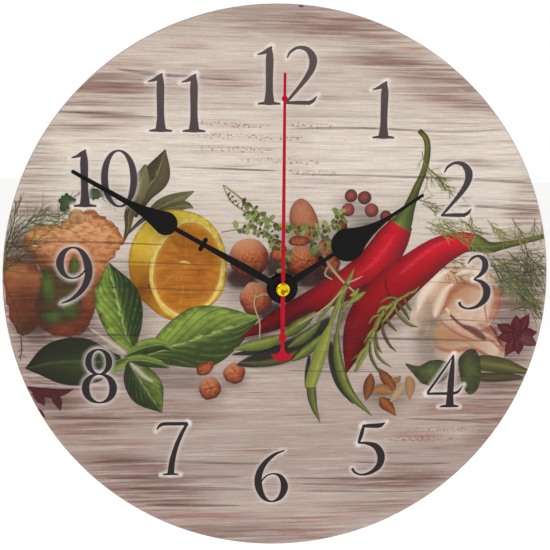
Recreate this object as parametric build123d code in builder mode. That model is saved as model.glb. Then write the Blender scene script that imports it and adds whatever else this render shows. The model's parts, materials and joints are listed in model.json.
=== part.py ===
from build123d import *
import os
from math import acos, atan2, cos, pi, radians, sin, tau

# Quartz wall clock: a printed round board with a square movement behind it and spade hands.
# Lengths are millimetres, +Z is up and the dial faces -Y. The origin is on the hands' axis in
# the wall plane, y = 0. A "depth" is a distance forward of the wall, so y = -depth.
# A "centre" is a pair (x, z). Angles of hands are clockwise from 12, in degrees.

# ---- Dial ----
dial_diameter = 300.0
board_thickness = 3.0
board_edge_break = 0.25
print_thickness = 0.2
print_margin = 0.4

# ---- Battery, an AA cell lying across the foot of the movement ----
battery_diameter = 14.2
battery_length = 50.3
battery_sleeve_thickness = 0.15
battery_nub_radius = 2.7
battery_nub_length = 1.2
battery_seal_thickness = 0.6
battery_play = 0.3
battery_rear_gap = 0.4
battery_front_gap = 0.2

# ---- Movement case ----
case_wall = 1.2
case_corner = 3.0
cover_thickness = 1.2
cover_play = 0.1
cover_lip_thickness = 0.8
cover_lip_length = 1.4
chamber_below = 10.8
chamber_above = 26.8
notch_width = 18.0
notch_depth = 7.0

# ---- Hanger loop on top of the case ----
hanger_eye_radius = 3.0
hanger_band = 3.0
hanger_thickness = 3.0
hanger_rise = 5.5

# ---- Contacts ----
contact_thickness = 0.4
contact_width = 3.0
contact_gap = 0.2
spring_room = 2.7
spring_half_height = 2.6
contact_reach_below = 3.0

# ---- Gear teeth ----
tooth_addendum = 0.8
tooth_dedendum = 1.05
tooth_play = 0.05

# ---- Gear train: module, teeth ----
step_module = 0.25
rotor_teeth = 8
intermediate_teeth = 40
intermediate_pinion_teeth = 8
seconds_teeth = 48
arbor_clearance = 0.4
third_distance = 9.0
seconds_pinion_teeth = 8
third_teeth = 64
third_pinion_teeth = 8
centre_teeth = 60
minute_pinion_teeth = 12
motion_teeth = 36
motion_pinion_teeth = 10
hour_teeth = 40
setting_pinion_teeth = 12

# ---- Bearings of the arbors around the centre, as angles from +X in degrees ----
intermediate_bearing = 20.0
third_bearing = 135.0
motion_bearing = 170.0

# ---- Axial build-up of the train ----
wheel_thickness = 0.6
motion_thickness = 0.8
layer_gap = 0.8
end_shake = 0.4
plate_thickness = 1.0
boss_height = 0.5
pivot_radius = 0.4
running_fit = 0.05
bush_flange_thickness = 1.2

# ---- Hand arbors ----
seconds_arbor_radius = 0.5
minute_tube_radius = 1.7
minute_pinion_wall = 0.03
pipe_play = 0.1
pipe_wall = 0.75
bush_wall = 1.25
bush_flange_band = 1.1
bush_play = 0.1

# ---- Clamp: gasket, washer and nut ----
gasket_thickness = 1.0
gasket_band = 6.0
washer_thickness = 0.5
washer_band = 2.6
nut_thickness = 2.2
nut_wall = 1.6
bush_proud = 0.6

# ---- Rotor, coil and stator ----
magnet_radius = 2.5
magnet_thickness = 1.8
rotor_sleeve_radius = 0.9
stator_thickness = 0.8
stator_gap = 0.5
stator_rim = 1.0
stator_leg_width = 3.0
stator_notch = 0.8
stator_notch_bearing = 100.0  # ahead of the rotor's line to the intermediate arbor
core_width = 2.4
core_thickness = 1.0
coil_x = 22.0
coil_bottom = -6.0
coil_top = 14.0
bobbin_flange = 6.4
bobbin_corner = 1.3
bobbin_flange_thickness = 0.8
bobbin_wall = 0.6
winding_inset = 0.4
winding_corner = 1.7

# ---- Circuit board ----
circuit_left = -16.0
circuit_right = 17.0
circuit_bottom = 16.5
circuit_top = 25.5
circuit_thickness = 1.0
blob_radius = 3.0
blob_height = 0.9
blob_edge_radius = 0.7
blob_x = -3.0
crystal_radius = 1.0
crystal_edge_break = 0.2
crystal_length = 6.0
crystal_x = 8.0

# ---- Middle plate ----
plate_left = -20.6
plate_right = 17.8
plate_bottom = -9.8
plate_top = 14.6
plate_corner = 1.5
post_radius = 1.5
pin_radius = 0.8

# ---- Setting knob in its well ----
knob_radius = 6.2
knob_thickness = 2.0
knob_recess = 0.5
knob_gap = 0.6
knob_ridges = 24
knob_ridge_radius = 0.45
knob_socket = 1.2
setting_arbor_radius = 1.0
well_wall = 1.0
well_floor_gap = 0.5

# ---- Hands: spade shapes stamped from sheet; every "half" is half a width ----
hour_angle = 56.3
minute_angle = 299.4
second_angle = 0.0
hand_thickness = 0.5
hand_gap = 0.9
arm_belly = 0.4
bar_radius = 1.25
flare_swell = 1.5  # how much wider than the rod the flare still is half way along

hour_length = 92.0
hour_hub_radius = 8.5
hour_arm_half = 2.0
hour_neck_half = 1.1
hour_bar = 26.2
hour_bar_reach = 2.2
hour_bulb = 42.6
hour_bulb_radius = 9.1
hour_flare_angle = 35.0
hour_flare_end = 71.0
hour_rod_half = 0.95
hour_tip_half = 0.85
hour_collar_wall = 1.25
hour_collar_height = 0.5

minute_length = 127.0
minute_hub_radius = 7.4
minute_arm_half = 2.05
minute_neck_half = 1.25
minute_bar = 49.0
minute_bar_reach = 2.75
minute_bulb = 71.6
minute_bulb_radius = 6.3
minute_flare_angle = 20.0
minute_flare_end = 94.0
minute_rod_half = 1.5
minute_tip_half = 1.0
minute_collar_radius = 4.6
minute_collar_height = 0.8

second_length = 113.6
second_hub_radius = 2.6
second_hub_half = 1.05
second_tip_half = 0.7
second_bead = 100.3
second_bead_radius = 1.6
second_tail_half = 1.2
second_stem_half = 0.95
second_tail_bead = 26.4
second_tail_bead_half = 2.1
second_tail_bead_length = 5.4
anchor_root = 31.8
anchor_half = 5.9
anchor_shoulder_half = 3.5
anchor_top = 35.4
anchor_tip_height = 0.8
anchor_base = 39.3
anchor_point_half = 0.9
second_tail = 40.5

cap_radius = 3.75
cap_height = 1.5
cap_dish = 0.6
cap_dish_radius = 2.7
cap_rim = 0.45
cap_tube_radius = 1.1
cap_tube_length = 1.2


def face_at(depth, clockwise=0.0):
    """Sketch plane at a depth: x to the right, y up as seen from the front, turned clockwise."""
    turn = radians(clockwise)
    return Plane(origin=(0, -depth, 0), x_dir=(cos(turn), 0, -sin(turn)), z_dir=(0, -1, 0))


def around(centre, distance, bearing):
    """Point at a distance and bearing from a centre."""
    return (
        centre[0] + distance * cos(radians(bearing)),
        centre[1] + distance * sin(radians(bearing)),
    )


def rod(centre, radius, depth_from, depth_to, mode=Mode.ADD):
    """Round bar along the depth direction, or its hole."""
    middle = -(depth_from + depth_to) / 2
    with Locations(Location((centre[0], middle, centre[1]), (90, 0, 0))):
        Cylinder(radius, depth_to - depth_from, mode=mode)


def block(left, right, depth_from, depth_to, bottom, top, mode=Mode.ADD):
    """Rectangular block between two sides, two depths and two heights."""
    with Locations(((left + right) / 2, -(depth_from + depth_to) / 2, (bottom + top) / 2)):
        Box(right - left, depth_to - depth_from, top - bottom, mode=mode)


def pitch_radius(module, teeth):
    return module * teeth / 2


def mesh_phase(centre, teeth, phase, mate_centre, mate_teeth):
    """Phase of the mate that faces each tooth of a wheel with a gap."""
    bearing = atan2(mate_centre[1] - centre[1], mate_centre[0] - centre[0])
    ahead = (bearing - phase) * teeth / tau
    return bearing + pi - (0.5 - ahead) * tau / mate_teeth


def toothed(centre, module, teeth, mate_teeth, phase):
    """Sketch of a wheel or pinion whose first tooth is centred on the angle phase.

    The teeth are cycloidal, as in clocks: a radial flank inside the pitch circle, and
    outside it a flat from the pitch circle to the curve that the mate's half-size
    rolling circle draws.
    """
    pitch = pitch_radius(module, teeth)
    rolling = pitch_radius(module, mate_teeth) / 2
    root = pitch - tooth_dedendum * module
    tip = pitch + tooth_addendum * module
    carrier = pitch + rolling
    roll = acos((carrier**2 + rolling**2 - tip**2) / (2 * carrier * rolling))
    lean = rolling * roll / pitch - atan2(rolling * sin(roll), carrier - rolling * cos(roll))
    half_tooth = pi / (2 * teeth) - tooth_play / (2 * pitch)
    flank = [(root, half_tooth), (pitch, half_tooth), (tip, half_tooth - lean)]
    side = [(radius, -half) for radius, half in flank]
    points = []
    for tooth in range(teeth):
        middle = phase + tau * tooth / teeth
        for radius, angle in side + flank[::-1]:
            points.append((
                centre[0] + radius * cos(middle + angle),
                centre[1] + radius * sin(middle + angle),
            ))
    with BuildSketch(mode=Mode.PRIVATE) as outline:
        with BuildLine():
            Polyline(*points, close=True)
        make_face()
    return outline.sketch


# ---- Places across the movement ----
inner_width = spring_room + battery_length + contact_gap + contact_thickness
inner_right = inner_width / 2
case_right = inner_right + case_wall
case_top = chamber_above + case_wall
bay_top = -chamber_below - case_wall
bay_height = battery_diameter + 2 * battery_play
bay_bottom = bay_top - bay_height
case_bottom = bay_bottom - case_wall
case_height = case_top - case_bottom
case_middle = (case_top + case_bottom) / 2
battery_z = bay_top - bay_height / 2

axis = (0.0, 0.0)
hour_pipe_radius = minute_tube_radius + pipe_play + pipe_wall
bush_radius = hour_pipe_radius + bush_play + bush_wall
bush_hole = bush_radius + bush_play

third_module = 2 * third_distance / (seconds_pinion_teeth + third_teeth)
centre_module = 2 * third_distance / (third_pinion_teeth + centre_teeth)
# The intermediate arbor stands just outside the centre wheel.
centre_wheel_radius = pitch_radius(centre_module, centre_teeth) + tooth_addendum * centre_module
intermediate_distance = centre_wheel_radius + arbor_clearance + pivot_radius
seconds_module = 2 * intermediate_distance / (seconds_teeth + intermediate_pinion_teeth)
# The minute pinion is cut on the outside of the minute tube.
minute_module = ((minute_tube_radius + minute_pinion_wall)
                 / (minute_pinion_teeth / 2 - tooth_dedendum))
motion_distance = pitch_radius(minute_module, minute_pinion_teeth + motion_teeth)
hour_module = 2 * motion_distance / (motion_pinion_teeth + hour_teeth)
rotor_distance = pitch_radius(step_module, intermediate_teeth + rotor_teeth)
intermediate_centre = around(axis, intermediate_distance, intermediate_bearing)
rotor_centre = around(intermediate_centre, rotor_distance, intermediate_bearing)
third_centre = around(axis, third_distance, third_bearing)
motion_centre = around(axis, motion_distance, motion_bearing)
setting_centre = around(motion_centre, motion_distance, motion_bearing)

# ---- Depths, from the wall to the tip of the cap ----
intermediate_depth = cover_thickness + boss_height + end_shake
well_radius = knob_radius + knob_gap
well_floor = knob_recess + knob_thickness + well_floor_gap
seconds_depth = max(intermediate_depth + wheel_thickness + layer_gap,
                    well_floor + well_wall + end_shake)
third_depth = seconds_depth + wheel_thickness + layer_gap
centre_depth = third_depth + wheel_thickness + layer_gap
plate_depth = centre_depth + wheel_thickness + layer_gap
plate_front = plate_depth + plate_thickness
motion_depth = plate_front + layer_gap
hour_wheel_depth = motion_depth + motion_thickness + layer_gap
motion_pinion_front = hour_wheel_depth + motion_thickness + end_shake / 2
front_boss_depth = motion_pinion_front + end_shake / 2
train_front = hour_wheel_depth + motion_thickness + layer_gap + bush_flange_thickness
battery_depth = battery_rear_gap + battery_diameter / 2
battery_front = battery_rear_gap + battery_diameter + battery_front_gap
case_inner_depth = max(train_front, battery_front)
case_front = case_inner_depth + case_wall
gasket_front = case_front + gasket_thickness
board_front = gasket_front + board_thickness
print_front = board_front + print_thickness
washer_front = print_front + washer_thickness
nut_front = washer_front + nut_thickness
bush_front = nut_front + bush_proud
hour_hand_depth = bush_front + hand_gap
hour_pipe_front = hour_hand_depth + hand_thickness + end_shake
minute_hand_depth = hour_pipe_front + hand_gap + hour_collar_height
minute_collar_front = minute_hand_depth + hand_thickness + minute_collar_height
minute_tube_front = minute_collar_front
second_hand_depth = minute_collar_front + hand_gap + cap_tube_length / 2
cap_depth = second_hand_depth + hand_thickness
seconds_arbor_front = cap_depth + cap_height - cap_dish - cap_rim

stator_depth = third_depth + stator_gap / 2
core_depth = stator_depth + stator_thickness
core_middle = core_depth + core_thickness / 2
magnet_depth = stator_depth - (magnet_thickness - stator_thickness) / 2
pivot_rear = cover_thickness / 2 + end_shake / 2
pivot_hole_rear = cover_thickness / 2
pivot_front = plate_front - end_shake

# ---- Phases that bring the teeth into mesh ----
intermediate_pinion_phase = mesh_phase(
    axis, seconds_teeth, 0, intermediate_centre, intermediate_pinion_teeth)
rotor_phase = mesh_phase(intermediate_centre, intermediate_teeth, 0, rotor_centre, rotor_teeth)
third_phase = mesh_phase(axis, seconds_pinion_teeth, 0, third_centre, third_teeth)
centre_phase = mesh_phase(third_centre, third_pinion_teeth, 0, axis, centre_teeth)
motion_phase = mesh_phase(axis, minute_pinion_teeth, 0, motion_centre, motion_teeth)
hour_phase = mesh_phase(motion_centre, motion_pinion_teeth, 0, axis, hour_teeth)
setting_phase = mesh_phase(
    motion_centre, motion_teeth, motion_phase, setting_centre, setting_pinion_teeth)

# ---- Fixing points in the case ----
plate_posts = [
    (x, z)
    for x in (plate_left + post_radius, plate_right - post_radius)
    for z in (plate_bottom + post_radius, plate_top - post_radius)
]
circuit_middle = (circuit_bottom + circuit_top) / 2
circuit_posts = [(circuit_left + 2 * post_radius, circuit_middle),
                 (circuit_right - 2 * post_radius, circuit_middle)]
stator_foot_height = stator_leg_width / 2
core_bottom = coil_bottom - stator_leg_width - stator_gap
core_top = coil_top + stator_leg_width + stator_gap
core_posts = [(coil_x, core_bottom + stator_foot_height),
              (coil_x, core_top - stator_foot_height)]
contact_depth = battery_depth - contact_width / 2
contact_bottom = battery_z - contact_reach_below
contact_top = circuit_middle + contact_width / 2 + post_radius

os.makedirs("parts", exist_ok=True)


# ================= Dial =================

with BuildPart() as dial_board:
    rod(axis, dial_diameter / 2, gasket_front, board_front)
    chamfer(dial_board.edges().filter_by(GeomType.CIRCLE), length=board_edge_break)
    rod(axis, bush_hole, gasket_front, board_front, mode=Mode.SUBTRACT)
dial_board.part.label = "dial_board"
export_step(dial_board.part, "parts/dial_board.step")

with BuildPart() as dial_print:
    rod(axis, dial_diameter / 2 - print_margin, board_front, print_front)
    rod(axis, bush_hole, board_front, print_front, mode=Mode.SUBTRACT)
dial_print.part.label = "dial_print"
export_step(dial_print.part, "parts/dial_print.step")


# ================= Clamp on the threaded bush =================

with BuildPart() as rubber_gasket:
    rod(axis, bush_radius + gasket_band, case_front, gasket_front)
    rod(axis, bush_hole, case_front, gasket_front, mode=Mode.SUBTRACT)
rubber_gasket.part.label = "rubber_gasket"
export_step(rubber_gasket.part, "parts/rubber_gasket.step")

with BuildPart() as brass_washer:
    rod(axis, bush_radius + washer_band, print_front, washer_front)
    rod(axis, bush_hole, print_front, washer_front, mode=Mode.SUBTRACT)
brass_washer.part.label = "brass_washer"
export_step(brass_washer.part, "parts/brass_washer.step")

with BuildPart() as hex_nut:
    with BuildSketch(face_at(washer_front)):
        RegularPolygon(bush_radius + nut_wall, 6, major_radius=False)
        Circle(bush_radius, mode=Mode.SUBTRACT)
    extrude(amount=nut_thickness)
hex_nut.part.label = "hex_nut"
export_step(hex_nut.part, "parts/hex_nut.step")

with BuildPart() as centre_bush:
    rod(axis, bush_radius + bush_flange_band, case_inner_depth - bush_flange_thickness,
        case_inner_depth)
    rod(axis, bush_radius, case_inner_depth, bush_front)
    rod(axis, hour_pipe_radius + bush_play, case_inner_depth - bush_flange_thickness, bush_front,
        mode=Mode.SUBTRACT)
centre_bush.part.label = "centre_bush"
export_step(centre_bush.part, "parts/centre_bush.step")


# ================= Movement case =================

with BuildPart() as front_case:
    with BuildSketch(face_at(0)):
        with Locations((0, case_middle)):
            RectangleRounded(2 * case_right, case_height, case_corner)
    extrude(amount=case_front)
    with BuildSketch(face_at(0)):
        with Locations((0, case_middle)):
            RectangleRounded(inner_width, case_height - 2 * case_wall, case_corner - case_wall)
    extrude(amount=case_inner_depth, mode=Mode.SUBTRACT)
    block(-case_right, case_right, 0, cover_thickness, -chamber_below, case_top,
          mode=Mode.SUBTRACT)
    block(-inner_right, inner_right, 0, case_inner_depth, bay_top, -chamber_below)
    # Slots let the two contact strips pass from the bay into the chamber.
    for side in (-1, 1):
        slot_inner = side * (inner_right - contact_thickness - contact_gap)
        block(min(slot_inner, side * inner_right), max(slot_inner, side * inner_right),
              contact_depth - contact_gap, contact_depth + contact_width + contact_gap,
              bay_top, -chamber_below, mode=Mode.SUBTRACT)
    # Finger notch under the battery.
    block(-notch_width / 2, notch_width / 2, 0, notch_depth, case_bottom, bay_bottom,
          mode=Mode.SUBTRACT)
    # Posts and their pins.
    for post in plate_posts:
        rod(post, post_radius, plate_front, case_inner_depth)
        rod(post, pin_radius, plate_depth, plate_front)
    for post in circuit_posts:
        rod(post, post_radius, plate_front, case_inner_depth)
        rod(post, pin_radius, plate_front - circuit_thickness, plate_front)
    for post in core_posts:
        rod(post, stator_foot_height - running_fit, core_depth + core_thickness, case_inner_depth)
        rod(post, pin_radius, stator_depth, core_depth + core_thickness)
    # Front bearings of the motion wheel and of the setting arbor.
    for boss in (motion_centre, setting_centre):
        rod(boss, pivot_radius + case_wall, front_boss_depth, case_inner_depth)
        rod(boss, pivot_radius + running_fit, front_boss_depth, case_inner_depth,
            mode=Mode.SUBTRACT)
    rod(axis, bush_radius, case_inner_depth, case_front, mode=Mode.SUBTRACT)
    # Hanger loop.
    with BuildSketch(face_at(cover_thickness)):
        with Locations((0, case_top + hanger_rise)):
            Circle(hanger_eye_radius + hanger_band)
        with Locations((0, case_top + hanger_rise / 2)):
            Rectangle(2 * (hanger_eye_radius + hanger_band), hanger_rise)
        with Locations((0, case_top + hanger_rise)):
            Circle(hanger_eye_radius, mode=Mode.SUBTRACT)
    extrude(amount=hanger_thickness)
front_case.part.label = "front_case"
export_step(front_case.part, "parts/front_case.step")

cover_middle = (case_top - chamber_below + cover_play) / 2
cover_height = case_top + chamber_below - cover_play
lip_width = inner_width - 2 * cover_play
lip_height = chamber_above + chamber_below - 2 * cover_play
lip_middle = (chamber_above - chamber_below) / 2

with BuildPart() as rear_cover:
    with BuildSketch(face_at(0)):
        with Locations((0, case_middle)):
            RectangleRounded(2 * case_right, case_height, case_corner)
        with Locations((0, cover_middle)):
            Rectangle(2 * case_right, cover_height, mode=Mode.INTERSECT)
    extrude(amount=cover_thickness)
    with BuildSketch(face_at(cover_thickness)):
        with Locations((0, lip_middle)):
            RectangleRounded(lip_width, lip_height, case_corner - case_wall)
            Rectangle(lip_width - 2 * cover_lip_thickness, lip_height - 2 * cover_lip_thickness,
                      mode=Mode.SUBTRACT)
    extrude(amount=cover_lip_length)
    # Bearing bosses with blind holes.
    for boss in (axis, third_centre, intermediate_centre, rotor_centre):
        rod(boss, pivot_radius + case_wall, cover_thickness, cover_thickness + boss_height)
    for boss in (third_centre, intermediate_centre, rotor_centre):
        rod(boss, pivot_radius + running_fit, pivot_hole_rear, cover_thickness + boss_height,
            mode=Mode.SUBTRACT)
    rod(axis, seconds_arbor_radius + running_fit, pivot_hole_rear, cover_thickness + boss_height,
        mode=Mode.SUBTRACT)
    # Well of the setting knob.
    rod(setting_centre, well_radius + well_wall, 0, well_floor + well_wall)
    rod(setting_centre, well_radius, 0, well_floor, mode=Mode.SUBTRACT)
    rod(setting_centre, setting_arbor_radius + 2 * running_fit, well_floor,
        well_floor + well_wall, mode=Mode.SUBTRACT)
rear_cover.part.label = "rear_cover"
export_step(rear_cover.part, "parts/rear_cover.step")

with BuildPart() as middle_plate:
    with BuildSketch(face_at(plate_depth)):
        with Locations(((plate_left + plate_right) / 2, (plate_bottom + plate_top) / 2)):
            RectangleRounded(plate_right - plate_left, plate_top - plate_bottom, plate_corner)
        with Locations(*plate_posts):
            Circle(pin_radius, mode=Mode.SUBTRACT)
        with Locations(third_centre, intermediate_centre, rotor_centre, motion_centre):
            Circle(pivot_radius + running_fit, mode=Mode.SUBTRACT)
        with Locations(setting_centre):
            Circle(setting_arbor_radius + 2 * running_fit, mode=Mode.SUBTRACT)
        Circle(minute_tube_radius + running_fit, mode=Mode.SUBTRACT)
    extrude(amount=plate_thickness)
middle_plate.part.label = "middle_plate"
export_step(middle_plate.part, "parts/middle_plate.step")


# ================= Circuit =================

circuit_depth = plate_front - circuit_thickness

with BuildPart() as circuit_board:
    block(circuit_left, circuit_right, circuit_depth, plate_front, circuit_bottom, circuit_top)
    for post in circuit_posts:
        rod(post, pin_radius, circuit_depth, plate_front, mode=Mode.SUBTRACT)
circuit_board.part.label = "circuit_board"
export_step(circuit_board.part, "parts/circuit_board.step")

with BuildPart() as chip_blob:
    with BuildSketch(face_at(circuit_depth)):
        with Locations((blob_x, circuit_middle)):
            Circle(blob_radius)
    extrude(amount=-blob_height)
    fillet(chip_blob.edges().group_by(Axis.Y)[-1], radius=blob_edge_radius)
chip_blob.part.label = "chip_blob"
export_step(chip_blob.part, "parts/chip_blob.step")

with BuildPart() as quartz_crystal:
    with Locations(Location((crystal_x, -(circuit_depth - crystal_radius), circuit_middle),
                            (0, 90, 0))):
        Cylinder(crystal_radius, crystal_length)
    chamfer(quartz_crystal.edges().filter_by(GeomType.CIRCLE), length=crystal_edge_break)
quartz_crystal.part.label = "quartz_crystal"
export_step(quartz_crystal.part, "parts/quartz_crystal.step")


# ================= Battery contacts =================

with BuildPart() as positive_contact:
    strip_left = inner_right - contact_thickness
    block(strip_left, inner_right, contact_depth, contact_depth + contact_width,
          contact_bottom, contact_top)
    block(circuit_posts[1][0] + post_radius + contact_gap, inner_right,
          plate_front, plate_front + contact_thickness, contact_top - contact_width, contact_top)
positive_contact.part.label = "positive_contact"
export_step(positive_contact.part, "parts/positive_contact.step")

with BuildPart() as negative_contact:
    strip_right = contact_thickness - inner_right
    spring_tip = spring_room - contact_gap - inner_right
    block(-inner_right, strip_right, contact_depth, contact_depth + contact_width,
          contact_bottom, contact_top)
    block(-inner_right, circuit_posts[0][0] - post_radius - contact_gap,
          plate_front, plate_front + contact_thickness, contact_top - contact_width, contact_top)
    # The leaf spring bows out to the battery's flat end.
    with BuildSketch(face_at(contact_depth)):
        with BuildLine():
            Polyline(
                (strip_right, battery_z - spring_half_height),
                (spring_tip, battery_z),
                (strip_right, battery_z + spring_half_height),
                (strip_right, battery_z + spring_half_height - contact_thickness),
                (spring_tip - contact_thickness, battery_z),
                (strip_right, battery_z - spring_half_height + contact_thickness),
                close=True,
            )
        make_face()
    extrude(amount=contact_width)
negative_contact.part.label = "negative_contact"
export_step(negative_contact.part, "parts/negative_contact.step")


# ================= Stepping motor =================

rotor_hole = magnet_radius + stator_gap
stator_left = rotor_centre[0]
stator_bar_left = stator_left + stator_rim

with BuildPart() as stator:
    with BuildSketch(face_at(stator_depth)):
        with Locations(rotor_centre):
            Circle(rotor_hole + stator_rim)
        with Locations((stator_bar_left + stator_leg_width / 2, (core_bottom + core_top) / 2)):
            Rectangle(stator_leg_width, core_top - core_bottom)
        for foot_x, foot_z in core_posts:
            foot_right = coil_x + core_width / 2
            with Locations(((stator_bar_left + foot_right) / 2, foot_z)):
                Rectangle(foot_right - stator_bar_left, stator_leg_width)
        with Locations(rotor_centre):
            Circle(rotor_hole, mode=Mode.SUBTRACT)
        # Two notches set the rotor's resting angle.
        notch_bearing = intermediate_bearing + stator_notch_bearing
        with Locations(around(rotor_centre, rotor_hole, notch_bearing),
                       around(rotor_centre, rotor_hole, notch_bearing + 180)):
            Circle(stator_notch / 2, mode=Mode.SUBTRACT)
        with Locations(*core_posts):
            Circle(pin_radius, mode=Mode.SUBTRACT)
    extrude(amount=stator_thickness)
stator.part.label = "stator"
export_step(stator.part, "parts/stator.step")

with BuildPart() as coil_core:
    block(coil_x - core_width / 2, coil_x + core_width / 2, core_depth,
          core_depth + core_thickness, core_bottom, core_top)
    for post in core_posts:
        rod(post, pin_radius, core_depth, core_depth + core_thickness, mode=Mode.SUBTRACT)
coil_core.part.label = "coil_core"
export_step(coil_core.part, "parts/coil_core.step")

barrel_width = core_width + 2 * bobbin_wall
barrel_thickness = core_thickness + 2 * bobbin_wall

with BuildPart() as coil_bobbin:
    with BuildSketch(Plane.XY.offset(coil_bottom)):
        with Locations((coil_x, -core_middle)):
            Rectangle(barrel_width, barrel_thickness)
    extrude(amount=coil_top - coil_bottom)
    for flange_bottom in (coil_bottom, coil_top - bobbin_flange_thickness):
        with BuildSketch(Plane.XY.offset(flange_bottom)):
            with Locations((coil_x, -core_middle)):
                RectangleRounded(bobbin_flange, bobbin_flange, bobbin_corner)
        extrude(amount=bobbin_flange_thickness)
    with BuildSketch(Plane.XY.offset(coil_bottom)):
        with Locations((coil_x, -core_middle)):
            Rectangle(core_width, core_thickness)
    extrude(amount=coil_top - coil_bottom, mode=Mode.SUBTRACT)
coil_bobbin.part.label = "coil_bobbin"
export_step(coil_bobbin.part, "parts/coil_bobbin.step")

winding_width = bobbin_flange - 2 * winding_inset

with BuildPart() as coil_winding:
    with BuildSketch(Plane.XY.offset(coil_bottom + bobbin_flange_thickness)):
        with Locations((coil_x, -core_middle)):
            RectangleRounded(winding_width, winding_width, winding_corner)
            Rectangle(barrel_width, barrel_thickness, mode=Mode.SUBTRACT)
    extrude(amount=coil_top - coil_bottom - 2 * bobbin_flange_thickness)
coil_winding.part.label = "coil_winding"
export_step(coil_winding.part, "parts/coil_winding.step")

rotor_pinion_front = intermediate_depth + wheel_thickness + end_shake

with BuildPart() as rotor_pinion:
    with BuildSketch(face_at(intermediate_depth - end_shake / 2)):
        add(toothed(rotor_centre, step_module, rotor_teeth, intermediate_teeth, rotor_phase))
    extrude(amount=rotor_pinion_front - intermediate_depth + end_shake / 2)
    rod(rotor_centre, rotor_sleeve_radius, rotor_pinion_front, magnet_depth + magnet_thickness)
    rod(rotor_centre, pivot_radius, pivot_rear, pivot_front)
rotor_pinion.part.label = "rotor_pinion"
export_step(rotor_pinion.part, "parts/rotor_pinion.step")

with BuildPart() as rotor_magnet:
    rod(rotor_centre, magnet_radius, magnet_depth, magnet_depth + magnet_thickness)
    rod(rotor_centre, rotor_sleeve_radius, magnet_depth, magnet_depth + magnet_thickness,
        mode=Mode.SUBTRACT)
rotor_magnet.part.label = "rotor_magnet"
export_step(rotor_magnet.part, "parts/rotor_magnet.step")


# ================= Gear train =================

with BuildPart() as intermediate_wheel:
    with BuildSketch(face_at(intermediate_depth)):
        add(toothed(intermediate_centre, step_module, intermediate_teeth, rotor_teeth, 0))
    extrude(amount=wheel_thickness)
    with BuildSketch(face_at(intermediate_depth + wheel_thickness)):
        add(toothed(intermediate_centre, seconds_module, intermediate_pinion_teeth,
                    seconds_teeth, intermediate_pinion_phase))
    extrude(amount=seconds_depth + end_shake - intermediate_depth)
    rod(intermediate_centre, pivot_radius, pivot_rear, pivot_front)
intermediate_wheel.part.label = "intermediate_wheel"
export_step(intermediate_wheel.part, "parts/intermediate_wheel.step")

seconds_pinion_front = centre_depth - end_shake

with BuildPart() as seconds_wheel:
    with BuildSketch(face_at(seconds_depth)):
        add(toothed(axis, seconds_module, seconds_teeth, intermediate_pinion_teeth, 0))
    extrude(amount=wheel_thickness)
    with BuildSketch(face_at(seconds_depth + wheel_thickness)):
        add(toothed(axis, third_module, seconds_pinion_teeth, third_teeth, 0))
    extrude(amount=seconds_pinion_front - seconds_depth - wheel_thickness)
    rod(axis, seconds_arbor_radius, seconds_depth, seconds_pinion_front, mode=Mode.SUBTRACT)
seconds_wheel.part.label = "seconds_wheel"
export_step(seconds_wheel.part, "parts/seconds_wheel.step")

with BuildPart() as seconds_arbor:
    rod(axis, seconds_arbor_radius, pivot_rear, seconds_arbor_front)
seconds_arbor.part.label = "seconds_arbor"
export_step(seconds_arbor.part, "parts/seconds_arbor.step")

with BuildPart() as third_wheel:
    with BuildSketch(face_at(third_depth)):
        add(toothed(third_centre, third_module, third_teeth, seconds_pinion_teeth, third_phase))
    extrude(amount=wheel_thickness)
    with BuildSketch(face_at(third_depth + wheel_thickness)):
        add(toothed(third_centre, centre_module, third_pinion_teeth, centre_teeth, 0))
    extrude(amount=plate_depth - end_shake - third_depth - wheel_thickness)
    rod(third_centre, pivot_radius, pivot_rear, pivot_front)
third_wheel.part.label = "third_wheel"
export_step(third_wheel.part, "parts/third_wheel.step")

with BuildPart() as centre_wheel:
    with BuildSketch(face_at(centre_depth)):
        add(toothed(axis, centre_module, centre_teeth, third_pinion_teeth, centre_phase))
        Circle(minute_tube_radius, mode=Mode.SUBTRACT)
    extrude(amount=wheel_thickness)
centre_wheel.part.label = "centre_wheel"
export_step(centre_wheel.part, "parts/centre_wheel.step")

minute_tube_rear = centre_depth - end_shake / 2
minute_pinion_rear = plate_front + end_shake / 2
minute_pinion_front = motion_depth + motion_thickness + end_shake / 2

with BuildPart() as minute_arbor:
    rod(axis, minute_tube_radius, minute_tube_rear, minute_tube_front)
    with BuildSketch(face_at(minute_pinion_rear)):
        add(toothed(axis, minute_module, minute_pinion_teeth, motion_teeth, 0))
    extrude(amount=minute_pinion_front - minute_pinion_rear)
    rod(axis, seconds_arbor_radius + 2 * running_fit, minute_tube_rear, minute_tube_front,
        mode=Mode.SUBTRACT)
minute_arbor.part.label = "minute_arbor"
export_step(minute_arbor.part, "parts/minute_arbor.step")

motion_pivot_front = case_inner_depth - end_shake

with BuildPart() as motion_wheel:
    with BuildSketch(face_at(motion_depth)):
        add(toothed(motion_centre, minute_module, motion_teeth, minute_pinion_teeth, motion_phase))
    extrude(amount=motion_thickness)
    with BuildSketch(face_at(motion_depth + motion_thickness)):
        add(toothed(motion_centre, hour_module, motion_pinion_teeth, hour_teeth, 0))
    extrude(amount=motion_pinion_front - motion_depth - motion_thickness)
    rod(motion_centre, pivot_radius, plate_depth + end_shake, motion_pivot_front)
motion_wheel.part.label = "motion_wheel"
export_step(motion_wheel.part, "parts/motion_wheel.step")

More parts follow.
